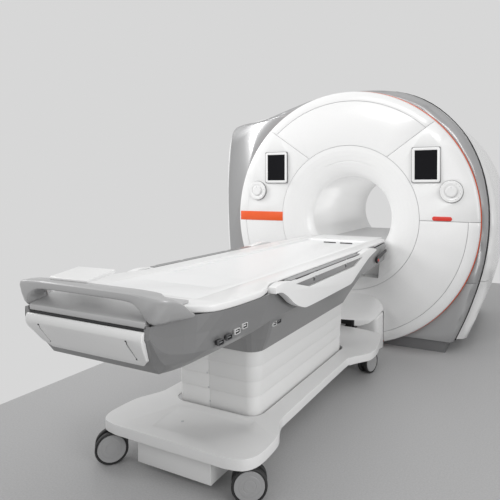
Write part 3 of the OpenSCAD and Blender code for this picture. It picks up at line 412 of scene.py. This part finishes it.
def cutAway(thing, *cutters):
    for cutter in cutters:
        applyModifier(thing, "BOOLEAN", operation="DIFFERENCE", object=cutter, solver="EXACT")
        bpy.data.objects.remove(cutter)


def scrap(*things):
    for thing in things:
        bpy.data.objects.remove(thing)


# Opens edit mode with only the faces selected that pass the test
def editFaces(thing, test):
    editing(thing)
    bpy.ops.mesh.select_mode(type="FACE")
    bpy.ops.mesh.select_all(action="DESELECT")
    done()
    for polygon in thing.data.polygons:
        polygon.select = test(polygon)
    bpy.ops.object.mode_set(mode="EDIT")


# Keeps the faces that pass the test and deletes the rest
def keepFaces(thing, test):
    editFaces(thing, lambda polygon: not test(polygon))
    bpy.ops.mesh.delete(type="FACE")
    bpy.ops.mesh.select_all(action="SELECT")
    done()


# The CAD solids keep their shape and get their finish
nodeAngle = 30


def paintNodes():
    for name, node in nodes.items():
        node.data.materials.clear()
        # the bore guide's grey is painted shade at the bottom of the bore
        node.data.materials.append(paint("bore_shade_grey" if name == "bore_guide" else slotOf[name]))
        smooth(node, nodeAngle)
    print("painted nodes:", len(nodes))


# Every cover and casing with its edges rounded as moulded parts have them: width and steps
coverEdges = {
    "front_ring": (0.0012, 2), "front_panel_top": (0.0012, 2), "front_panel_left": (0.0012, 2),
    "front_panel_right": (0.0012, 2), "front_panel_low_left": (0.0012, 2),
    "front_panel_low_right": (0.0012, 2), "base_chassis": (0.002, 2),
    "table_cover": (0.007, 3), "foot_cover": (0.005, 3),
    "foot_shelf": (0.003, 3), "side_rail_left": (0.009, 4),
    "side_rail_right": (0.009, 4), "dock_housing": (0.012, 4), "dock_socket": (0.0015, 2),
    "screen_bezels": (0.0025, 3), "screens": (0.0006, 1), "badge_plate": (0.0008, 2),
    "pill_plate": (0.0008, 2), "release_lever": (0.0025, 3), "stop_button": (0.002, 3),
    "foot_handle": (0.001, 2), "rail_hinges": (0.0008, 2), "fork_front_left": (0.003, 2),
    "fork_front_right": (0.003, 2), "fork_rear_left": (0.003, 2), "fork_rear_right": (0.003, 2),
}


def dressCovers():
    for node, (width, steps) in coverEdges.items():
        thing = copyOfNode(node, node + ".finished")
        roundEdges(thing, width, steps)
        smooth(thing)
        settle(thing, bodyOf[node], slotOf[node], node)
    print("covers:", len(coverEdges))


# Shroud in the grey cover paint with a lighter tone, painted light; its rounded rim shaded as one surface
shroudShape = {"rounding": 0.0015, "steps": 2, "fromAngle": 60, "smoothAngle": 55}
shroudNodes = ("shroud_upper", "shroud_lower")


def makeShroud():
    for node in shroudNodes:
        thing = copyOfNode(node, node + ".finished")
        roundEdges(thing, shroudShape["rounding"], shroudShape["steps"], shroudShape["fromAngle"])
        smooth(thing, shroudShape["smoothAngle"])
        settle(thing, "gantry", slotOf[node], node, finish="grey_cover_painted_light")
    print("shroud done")


# Casters: each twin wheel has a tyre, a disc with a hub, and a shared axle
wheelShape = {
    "tyre": [(0.0125, 0.048), (0.0125, 0.066), (0.0135, 0.0725), (0.0155, 0.0750), (0.0345, 0.0750),
             (0.0365, 0.0728), (0.0376, 0.0690), (0.0372, 0.0668), (0.0300, 0.0660)],
    "disc": [(0.0295, 0.0640), (0.0355, 0.0640), (0.0368, 0.0625), (0.0362, 0.0450), (0.0372, 0.0430),
             (0.0374, 0.0290), (0.0366, 0.0280), (0.0366, 0.0262), (0.0376, 0.0252), (0.0379, 0.0120),
             (0.0374, 0.0112), (0.0376, 0.0030)],
    "axle": [(-0.0130, 0.0079), (0.0130, 0.0079)],
}
wheelAngle = {"tyre": 25, "disc": 25, "axle": 30}
casters = ("front_left", "front_right", "rear_left", "rear_right")


def makeWheels():
    joints = {j["name"]: j for j in frame["record"]["behaviour"]["joints"]}
    models = {kind: turned(kind, profile) for kind, profile in wheelShape.items()}
    for kind, model in models.items():
        smooth(model, wheelAngle[kind])
    for caster in casters:
        joint = joints["roll_" + caster]
        hub, along, body = joint["pos_m"], Vector(joint["axis"]), "wheels_" + caster
        for side, facing in (("in", -along), ("out", along)):
            tyre = copyTo(models["tyre"], f"tyre_{caster}_{side}", hub, facing)
            settle(tyre, body, "tyre", "wheels_" + caster)
            disc = copyTo(models["disc"], f"wheel_disc_{caster}_{side}", hub, facing)
            settle(disc, body, "tyre", "wheels_" + caster, finish="wheel_disc")
        axle = copyTo(models["axle"], f"axle_{caster}", hub, along)
        settle(axle, body, "tyre", "wheels_" + caster, finish="bright_steel")
    scrap(*models.values())
    print("wheels:", len(casters))


# Dials: a rim with a groove and a dish, tick marks, a domed knob with a pointer, and behind the rim a
# black ring of painted shade for the gap round the dial
dialShape = {
    "base": [(0.0, 0.0838), (0.0300, 0.0838), (0.0328, 0.0824), (0.0340, 0.0800), (0.0340, 0.0752),
             (0.0322, 0.0744), (0.0322, 0.0726), (0.0340, 0.0718), (0.0340, 0.0640), (0.0318, 0.0560),
             (0.0290, 0.0500), (0.0268, 0.0462), (0.0262, 0.0455)],
    "knob": [(0.0, 0.0420), (0.0080, 0.0432), (0.0120, 0.0428), (0.0145, 0.0405), (0.0158, 0.0360),
             (0.0160, 0.0300), (0.0154, 0.0180), (0.0150, 0.0040)],
    "tick": [(0.0, 0.0019), (0.0004, 0.0017)],
    # edge: profile of the black ring behind the rim, painted shade of the gap round the dial
    "edge": [(0.0, 0.0866), (0.0120, 0.0866)],
    "shadeLineY": -0.8164, "baseDepth": 0.0340, "knobDepth": 0.0156, "rounding": 0.0006,
    "baseAngle": 30, "knobAngle": 50,
    "ticks": (-62, -38, -14, 10, 34, 58), "tickRadius": 0.0679,
    # half width, nearest and farthest from the middle, how far proud and how deep
    "pointer": (0.0008, 0.0250, 0.0390, 0.0004, 0.0020),
}


def makeDials():
    low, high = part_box("dial_bases")
    knobLow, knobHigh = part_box("knob_right")
    height = (low.z + high.z) / 2
    reach = (knobLow.x + knobHigh.x) / 2
    forward = (0, -1, 0)
    models = {kind: turned(kind, dialShape[kind]) for kind in ("base", "knob", "tick", "edge")}
    roundEdges(models["base"], dialShape["rounding"], 2)
    smooth(models["base"], dialShape["baseAngle"])
    smooth(models["knob"], dialShape["knobAngle"])
    thin, inner, outer, proud, deep = dialShape["pointer"]
    front = knobHigh.y - dialShape["knobDepth"]
    for side, sign in (("left", -1), ("right", 1)):
        middle = sign * reach
        base = copyTo(models["base"], "dial_base_" + side, (middle, high.y, height), forward)
        settle(base, "gantry", "white_cover", "dial_bases")
        knob = copyTo(models["knob"], "dial_knob_" + side, (middle, knobHigh.y, height), forward)
        settle(knob, "knob_" + side, "bezel_plastic", "knob_" + side)
        pointer = boxPiece("dial_pointer_" + side, (middle - thin, front - proud, height + inner),
                           (middle + thin, front + deep, height + outer))
        settle(pointer, "knob_" + side, "black_plastic", finish="dark_plastic")
        for number, turn in enumerate(dialShape["ticks"]):
            angle, radius = math.radians(turn), dialShape["tickRadius"]
            spot = (middle + radius * math.cos(angle), high.y - dialShape["baseDepth"],
                    height + radius * math.sin(angle))
            tick = copyTo(models["tick"], f"dial_tick_{side}_{number}", spot, forward)
            settle(tick, "gantry", "black_plastic", finish="dark_plastic")
        # black ring behind the rim: painted shade of the gap round the dial
        edge = copyTo(models["edge"], "dial_shade_line_" + side, (middle, dialShape["shadeLineY"], height), forward)
        settle(edge, "gantry", "black_plastic", finish="dark_plastic")
    scrap(*models.values())
    print("dials done")


# Thin black frame round each screen bezel: painted shade of the gap round it
screenShadeLineShape = {"y": (-0.8284, -0.8164), "border": 0.0028, "radius": 0.008, "step": 15}


def makeScreenShadeLines():
    border, radius, step = (screenShadeLineShape[name] for name in ("border", "radius", "step"))
    for side, sign in (("left", -1), ("right", 1)):
        corners = [v.co for v in nodes["screen_bezels"].data.vertices if v.co.x * sign > 0]
        lowX, highX = min(v.x for v in corners) - border, max(v.x for v in corners) + border
        lowZ, highZ = min(v.z for v in corners) - border, max(v.z for v in corners) + border
        outline = []
        for x, z, start in ((highX - radius, highZ - radius, 0), (lowX + radius, highZ - radius, 90),
                            (lowX + radius, lowZ + radius, 180), (highX - radius, lowZ + radius, 270)):
            for turn in range(start, start + 91, step):
                angle = math.radians(turn)
                outline.append((x + radius * math.cos(angle), z + radius * math.sin(angle)))
        edge = slab("screen_shade_line_" + side, outline, "y", *screenShadeLineShape["y"])
        settle(edge, "gantry", "black_plastic", finish="dark_plastic")
    print("screen edges done")


# Black strip of painted shade in the gap between the grey shroud and the white rear cover, a little larger
# than the shroud
gapShadeShape = {"plane": -0.640, "near": 0.0005, "thick": 0.0044, "grow": 1.008, "middle": (0, 0, 1.038),
               "below": 0.0005, "reach": 1.5}


def makeGapShadeStrips():
    grow, reach = gapShadeShape["grow"], gapShadeShape["reach"]
    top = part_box("shroud_upper")[1].z - gapShadeShape["below"]
    for node in shroudNodes:
        # each strip is black as painted shade of the gap, grown from the shroud's rear face
        thing = copyOfNode(node, node.replace("shroud", "gap_shade"))
        keepFaces(thing, lambda polygon: polygon.normal.y > 0.99
                  and abs(polygon.center.y - gapShadeShape["plane"]) < gapShadeShape["near"])
        editing(thing)
        bpy.ops.mesh.extrude_region_move(TRANSFORM_OT_translate={"value": (0, gapShadeShape["thick"], 0)})
        bpy.ops.mesh.select_all(action="SELECT")
        bpy.ops.transform.resize(value=(grow, 1, grow), center_override=gapShadeShape["middle"])
        done()
        outwards(thing)
        # the grown outline stays below the top of the shroud
        cutAway(thing, boxPiece("cutter", (-reach, -reach, top), (reach, reach, top + reach)))
        settle(thing, "gantry", "black_plastic")
    print("gap_shades done")


# Tabletop: a long groove on each side, a fine step at the foot end, and black inserts in its slots,
# painted shade of their depth
topShape = {
    "grooveX": 0.222, "grooveHalf": 0.002, "grooveZ": 0.8600, "grooveY": (-2.74, -1.04), "above": 0.95,
    "stepX": 0.20, "stepY": -2.98, "stepHalf": 0.001, "stepZ": 0.8725,
    "rounding": 0.004, "fromAngle": 50,
    "slotX": (-0.012, 0.122), "slotHalf": (0.0485, 0.0068), "slotY": -1.144, "slotZ": (0.8562, 0.8688),
    "slotRounding": 0.0012,
}


def makeTabletop():
    top = copyOfNode("tabletop", "tabletop.finished")
    half, above, (near, far) = topShape["grooveHalf"], topShape["above"], topShape["grooveY"]
    for side in (-1, 1):
        x = side * topShape["grooveX"]
        cutAway(top, boxPiece("cutter", (x - half, near, topShape["grooveZ"]), (x + half, far, above)))
    stepX, step, stepHalf = topShape["stepX"], topShape["stepY"], topShape["stepHalf"]
    cutAway(top, boxPiece("cutter", (-stepX, step - stepHalf, topShape["stepZ"]),
                          (stepX, step + stepHalf, above)))
    roundEdges(top, topShape["rounding"], 3, topShape["fromAngle"])
    smooth(top)
    settle(top, "tabletop", "tabletop_white", "tabletop")
    (halfX, halfY), y, (low, high) = topShape["slotHalf"], topShape["slotY"], topShape["slotZ"]
    # black boxes in the slots: painted shade of the slots' depth
    for number, x in enumerate(topShape["slotX"]):
        slotShade = boxPiece(f"tabletop_slot_shade_{number}", (x - halfX, y - halfY, low),
                          (x + halfX, y + halfY, high))
        roundEdges(slotShade, topShape["slotRounding"], 2)
        settle(slotShade, "tabletop", "black_plastic")
    print("tabletop done")


# Accessory rails along the sides of the table cover, with a black line of painted shade in the gap under
# each, and screws in them
barShape = {
    "x": (0.3705, 0.3775), "y": (-2.72, -1.25), "z": (0.8555, 0.8700), "rounding": 0.0018,
    "gapShadeX": (0.3705, 0.3745), "gapShadeZ": (0.8485, 0.8550), "gapShadeRounding": 0.0008,
    "screw": [(0.0, 0.0046), (0.0008, 0.0044), (0.0010, 0.0038)], "screws": (-2.60, -2.05, -1.50),
}


def makeAccessoryRails():
    screw = turned("screw", barShape["screw"], 24)
    outer, height = barShape["x"][1], sum(barShape["z"]) / 2
    for side, sign in (("left", -1), ("right", 1)):
        bar = sideBox("accessory_rail_" + side, sign, barShape["x"], barShape["y"], barShape["z"])
        roundEdges(bar, barShape["rounding"], 3)
        smooth(bar)
        settle(bar, "table_body", "bright_steel", finish="rail_bar")
        # black line under the rail: painted shade of the gap below it
        line = sideBox("accessory_shade_line_" + side, sign, barShape["gapShadeX"], barShape["y"], barShape["gapShadeZ"])
        roundEdges(line, barShape["gapShadeRounding"], 1)
        settle(line, "table_body", "black_plastic")
        for number, y in enumerate(barShape["screws"]):
            screwHead = copyTo(screw, f"accessory_screw_{side}_{number}", (sign * outer, y, height),
                               (sign, 0, 0))
            settle(screwHead, "table_body", "bright_steel")
    scrap(screw)
    print("accessory rails done")


# Grey panel in the grip recess of each side rail: the floor of the recess, drawn in a little and raised
panelShape = {"floor": 0.400, "near": 0.0006, "shrink": (1, 0.997, 0.94), "middle": (0, -2.16, 0.830),
              "thick": 0.0215, "rounding": 0.0020}
# Grey cap on top of the rail, a black line of painted shade in the gap beside it, clear of the hinges, and
# white strip over their slots:
# finish, and spans across, along and up
railTrims = {
    "cap": ("grey_cover", (0.3860, 0.4210), (-2.690, -1.700), (0.8690, 0.8734)),
    "shade_line_foot": ("black_plastic", (0.4210, 0.4275), (-2.640, -2.434), (0.8690, 0.8732)),
    "shade_line_middle": ("black_plastic", (0.4210, 0.4275), (-2.406, -1.974), (0.8690, 0.8732)),
    "shade_line_head": ("black_plastic", (0.4210, 0.4275), (-1.946, -1.740), (0.8690, 0.8732)),
    "strip": ("white_cover", (0.4286, 0.4304), (-2.500, -1.880), (0.8520, 0.8712)),
}
trimRounding = 0.0006


def makeRailPanels():
    for side, sign in (("left", -1), ("right", 1)):
        thing = copyOfNode("side_rail_" + side, "rail_panel_" + side)
        keepFaces(thing, lambda polygon: polygon.normal.x * sign > 0.95
                  and abs(polygon.center.x * sign - panelShape["floor"]) < panelShape["near"])
        editing(thing)
        bpy.ops.transform.resize(value=panelShape["shrink"], center_override=panelShape["middle"])
        bpy.ops.mesh.extrude_region_move(
            TRANSFORM_OT_translate={"value": (sign * panelShape["thick"], 0, 0)})
        done()
        outwards(thing)
        roundEdges(thing, panelShape["rounding"], 3)
        smooth(thing)
        settle(thing, "rail_" + side, "grey_cover")
        for part, (slot, across, along, up) in railTrims.items():
            trim = sideBox(f"rail_{part}_{side}", sign, across, along, up)
            roundEdges(trim, trimRounding, 2)
            settle(trim, "rail_" + side, slot)
    print("rail panels done")


# Painted shade: dark strips in the foot cover's two grooves, and a black strip in the gap under the shelf
footShadeShape = {"groove": 0.218, "near": 0.0034, "raise": 0.0035,
             "gap": ((-0.284, -3.4925, 0.8296), (0.284, -3.4600, 0.8378)), "rounding": 0.0008}


def makeFootShadeStrips():
    # dark strips in the grooves: painted shade
    thing = copyOfNode("foot_cover", "groove_painted_shade")
    keepFaces(thing, lambda polygon: abs(polygon.normal.x) < 0.5
              and abs(abs(polygon.center.x) - footShadeShape["groove"]) < footShadeShape["near"])
    editing(thing)
    bpy.ops.mesh.extrude_region_shrink_fatten(TRANSFORM_OT_shrink_fatten={"value": footShadeShape["raise"]})
    done()
    outwards(thing)
    settle(thing, bodyOf["foot_cover"], "black_plastic", finish="dark_plastic")
    # black strip in the gap under the shelf: painted shade
    gap = boxPiece("shelf_gap_shade", *footShadeShape["gap"])
    roundEdges(gap, footShadeShape["rounding"], 1)
    settle(gap, bodyOf["foot_cover"], "black_plastic")
    print("foot trims done")


# Control pad with round corners: its upright edges first, then all that are left
padShape = {"corner": 0.016, "cornerSteps": 6, "fromAngle": 60, "edge": 0.0035, "edgeSteps": 3}


def makePad():
    pad = copyOfNode("control_pad", "control_pad.finished")
    roundSome(pad, padShape["corner"], padShape["cornerSteps"], padShape["fromAngle"],
              lambda first, second: abs((second - first).normalized().z) > 0.9)
    roundEdges(pad, padShape["edge"], padShape["edgeSteps"])
    smooth(pad)
    settle(pad, bodyOf["control_pad"], slotOf["control_pad"], "control_pad")
    print("control pad done")


# Pedestal sleeves with a vertical seam at the foot end, and a screw in three of them: x, z
sleeveShape = {
    "seamX": -0.030, "seamHalf": 0.0011, "deep": 0.0018, "past": 0.01, "rounding": 0.0009,
    "screw": [(0.0, 0.0052), (0.0007, 0.0050), (0.0009, 0.0042)], "sunk": 0.0008,
    "screws": {"sleeve_high": (-0.040, 0.371), "sleeve_low": (-0.035, 0.297),
               "sleeve_fixed": (-0.028, 0.227)},
}


def makeSleeves():
    screw = turned("screw", sleeveShape["screw"], 24)
    seam, half, past = sleeveShape["seamX"], sleeveShape["seamHalf"], sleeveShape["past"]
    for node in ("sleeve_fixed", "sleeve_low", "sleeve_high", "sleeve_top"):
        low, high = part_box(node)
        thing = copyOfNode(node, node + ".finished")
        cutAway(thing, boxPiece("cutter", (seam - half, low.y - past, low.z - past),
                                (seam + half, low.y + sleeveShape["deep"], high.z + past)))
        roundEdges(thing, sleeveShape["rounding"], 2)
        smooth(thing)
        settle(thing, bodyOf[node], "sleeve_white", node)
        if node in sleeveShape["screws"]:
            x, z = sleeveShape["screws"][node]
            screwHead = copyTo(screw, "screw_" + node, (x, low.y + sleeveShape["sunk"], z), (0, -1, 0))
            settle(screwHead, bodyOf[node], "sleeve_white", finish="bright_steel")
    scrap(screw)
    print("sleeves done")


# Base cover with a shallow recess at the foot end and a screw in it. The edge of its opening stays
# sharp, because the pedestal moves in it
baseShape = {
    "rounding": 0.016, "steps": 5, "fromAngle": 60, "clear": 0.02, "smoothAngle": 30,
    "recess": [(-0.165, -2.770), (-0.165, -2.793), (-0.137, -2.985), (0.126, -2.972), (0.245, -2.790),
               (0.246, -2.745)],
    "deep": 0.005, "above": 0.0001, "slope": 1.06, "middle": (0.04, -2.87, 0),
    "screw": [(0.0, 0.0075), (0.0012, 0.0072), (0.0016, 0.0060)], "screwPlace": (-0.050, -2.883),
}


def makeBase():
    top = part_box("base_cover")[1].z
    thing = copyOfNode("base_cover", "base_cover.finished", joinFlat=False)
    clear, slope = baseShape["clear"], baseShape["slope"]
    sleeveLow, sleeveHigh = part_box("sleeve_top")
    roundSome(thing, baseShape["rounding"], baseShape["steps"], baseShape["fromAngle"],
              lambda first, second: not (sleeveLow.x - clear < first.x < sleeveHigh.x + clear
                                         and sleeveLow.y - clear < first.y < sleeveHigh.y + clear))
    recessLow = top - baseShape["deep"]
    cutter = slab("cutter", baseShape["recess"], "z", recessLow, top + baseShape["above"])
    editFaces(cutter, lambda polygon: polygon.center.z > top)
    bpy.ops.transform.resize(value=(slope, slope, 1), center_override=baseShape["middle"])
    done()
    cutAway(thing, cutter)
    smooth(thing, baseShape["smoothAngle"])
    settle(thing, "table_base", "base_white", "base_cover")
    screw = turned("base_screw_model", baseShape["screw"], 32)
    screwHead = copyTo(screw, "base_screw", (*baseShape["screwPlace"], recessLow))
    settle(screwHead, "table_base", "bright_steel")
    scrap(screw)
    print("base done")


# Sockets on the grey side of the table: a frame, a black recess and a tongue in each. Spans are given
# from the middle of the socket's face: half along and half up, or depths across
socketShape = {
    "faceArea": (0.0003, 0.0006), "hole": (0.0130, 0.0060), "holeX": (-0.005, 0.010), "rounding": 0.0006,
    "frame": (0.0175, 0.0105), "frameX": (-0.008, 0.0016), "window": (0.0152, 0.0082),
    "windowX": (-0.05, 0.05), "frameRounding": 0.0008,
    "tongue": (0.0095, 0.0018), "tongueX": (-0.0052, -0.0006), "tongueRounding": 0.0005,
    "pale": (2, 3, 4),
}


def socketBox(name, spot, part):
    (inner, outer), (halfY, halfZ) = socketShape[part + "X"], socketShape[part]
    return boxPiece(name, (spot.x + inner, spot.y - halfY, spot.z - halfZ),
                    (spot.x + outer, spot.y + halfY, spot.z + halfZ))


def makeSockets():
    thing = copyOfNode("coil_sockets", "coil_sockets.finished")
    least, most = socketShape["faceArea"]
    spots = [Vector(polygon.center) for polygon in thing.data.polygons
             if polygon.normal.x > 0.9 and least < polygon.area < most]
    spots.sort(key=lambda spot: spot.y)
    for spot in spots:
        cutAway(thing, socketBox("cutter", spot, "hole"))
    roundEdges(thing, socketShape["rounding"], 2)
    smooth(thing)
    settle(thing, "table_body", "black_plastic", "coil_sockets")
    for number, spot in enumerate(spots):
        pale = number in socketShape["pale"]
        ring = socketBox(f"socket_frame_{number}", spot, "frame")
        cutAway(ring, socketBox("cutter", spot, "window"))
        roundEdges(ring, socketShape["frameRounding"], 2)
        smooth(ring)
        settle(ring, "table_body", "black_plastic", finish="bezel_plastic" if pale else "rail_bar")
        tongue = socketBox(f"socket_tongue_{number}", spot, "tongue")
        roundEdges(tongue, socketShape["tongueRounding"], 2)
        settle(tongue, "table_body", "black_plastic", finish="bezel_plastic" if pale else "bright_steel")
    print("sockets:", len(spots))


# Rear cover with the open seams between its moulded parts: one level round it, one upright
rearShape = {"halfSeam": 0.0015, "seamZ": 0.563, "seamY": 0.300, "reach": 2.4, "smoothAngle": 50}


def makeRearCover():
    thing = copyOfNode("rear_shell", "rear_shell.finished")
    half, reach = rearShape["halfSeam"], rearShape["reach"]
    y, z = rearShape["seamY"], rearShape["seamZ"]
    cutAway(thing, boxPiece("levelCutter", (-reach, -reach, z - half), (reach, reach, z + half)),
            boxPiece("uprightCutter", (-reach, y - half, -reach), (reach, y + half, reach)))
    smooth(thing, rearShape["smoothAngle"])
    settle(thing, "gantry", slotOf["rear_shell"], "rear_shell")
    print("rear cover done")


# Service panel with air slots on the rear cover, and a black backing behind them
serviceShape = {
    "x": 0.50, "z": (0.215, 0.425), "sunk": 0.0010, "thick": 0.0030, "rounding": 0.0009,
    "slots": 15, "slotPitch": 0.058, "slotHalf": (0.010, 0.045), "slotZ": 0.32, "slotReach": 0.05,
    "backingInset": 0.03, "backingY": (-0.0005, 0.0004),
    "screw": [(0.0, 0.0060), (0.0008, 0.0058), (0.0011, 0.0048)], "screwX": 0.47, "screwZ": (0.235, 0.405),
}


def makeServicePanel():
    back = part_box("rear_shell")[1].y
    half, (bottom, top), face = serviceShape["x"], serviceShape["z"], back + serviceShape["thick"]
    panel = boxPiece("service_panel", (-half, back - serviceShape["sunk"], bottom), (half, face, top))
    (slotX, slotZ), reach = serviceShape["slotHalf"], serviceShape["slotReach"]
    z, count = serviceShape["slotZ"], serviceShape["slots"]
    for number in range(count):
        x = (number - (count - 1) / 2) * serviceShape["slotPitch"]
        cutAway(panel, boxPiece("cutter", (x - slotX, back - reach, z - slotZ),
                                (x + slotX, back + reach, z + slotZ)))
    roundEdges(panel, serviceShape["rounding"], 2)
    smooth(panel)
    settle(panel, "gantry", "white_cover")
    inset, (inner, outer) = serviceShape["backingInset"], serviceShape["backingY"]
    backing = boxPiece("service_backing", (-half + inset, back + inner, bottom + inset),
                       (half - inset, back + outer, top - inset))
    settle(backing, "gantry", "black_plastic")
    screw = turned("screw", serviceShape["screw"], 24)
    corners = [(side * serviceShape["screwX"], row) for row in serviceShape["screwZ"] for side in (-1, 1)]
    for number, (x, z) in enumerate(corners):
        screwHead = copyTo(screw, f"service_screw_{number}", (x, face, z), (0, 1, 0))
        settle(screwHead, "gantry", "bright_steel")
    scrap(screw)
    print("service panel done")


makeCamera()
makeWorld()
makeLamps()
makeFloor()
surfaceGroup = buildSurfaceGroup()
paintNodes()
dressCovers()
makeWheels()
makeShroud()
makeDials()
makeScreenShadeLines()
makeGapShadeStrips()
makeTabletop()
makeAccessoryRails()
makeRailPanels()
makeFootShadeStrips()
makePad()
makeSleeves()
makeBase()
makeSockets()
makeRearCover()
makeServicePanel()
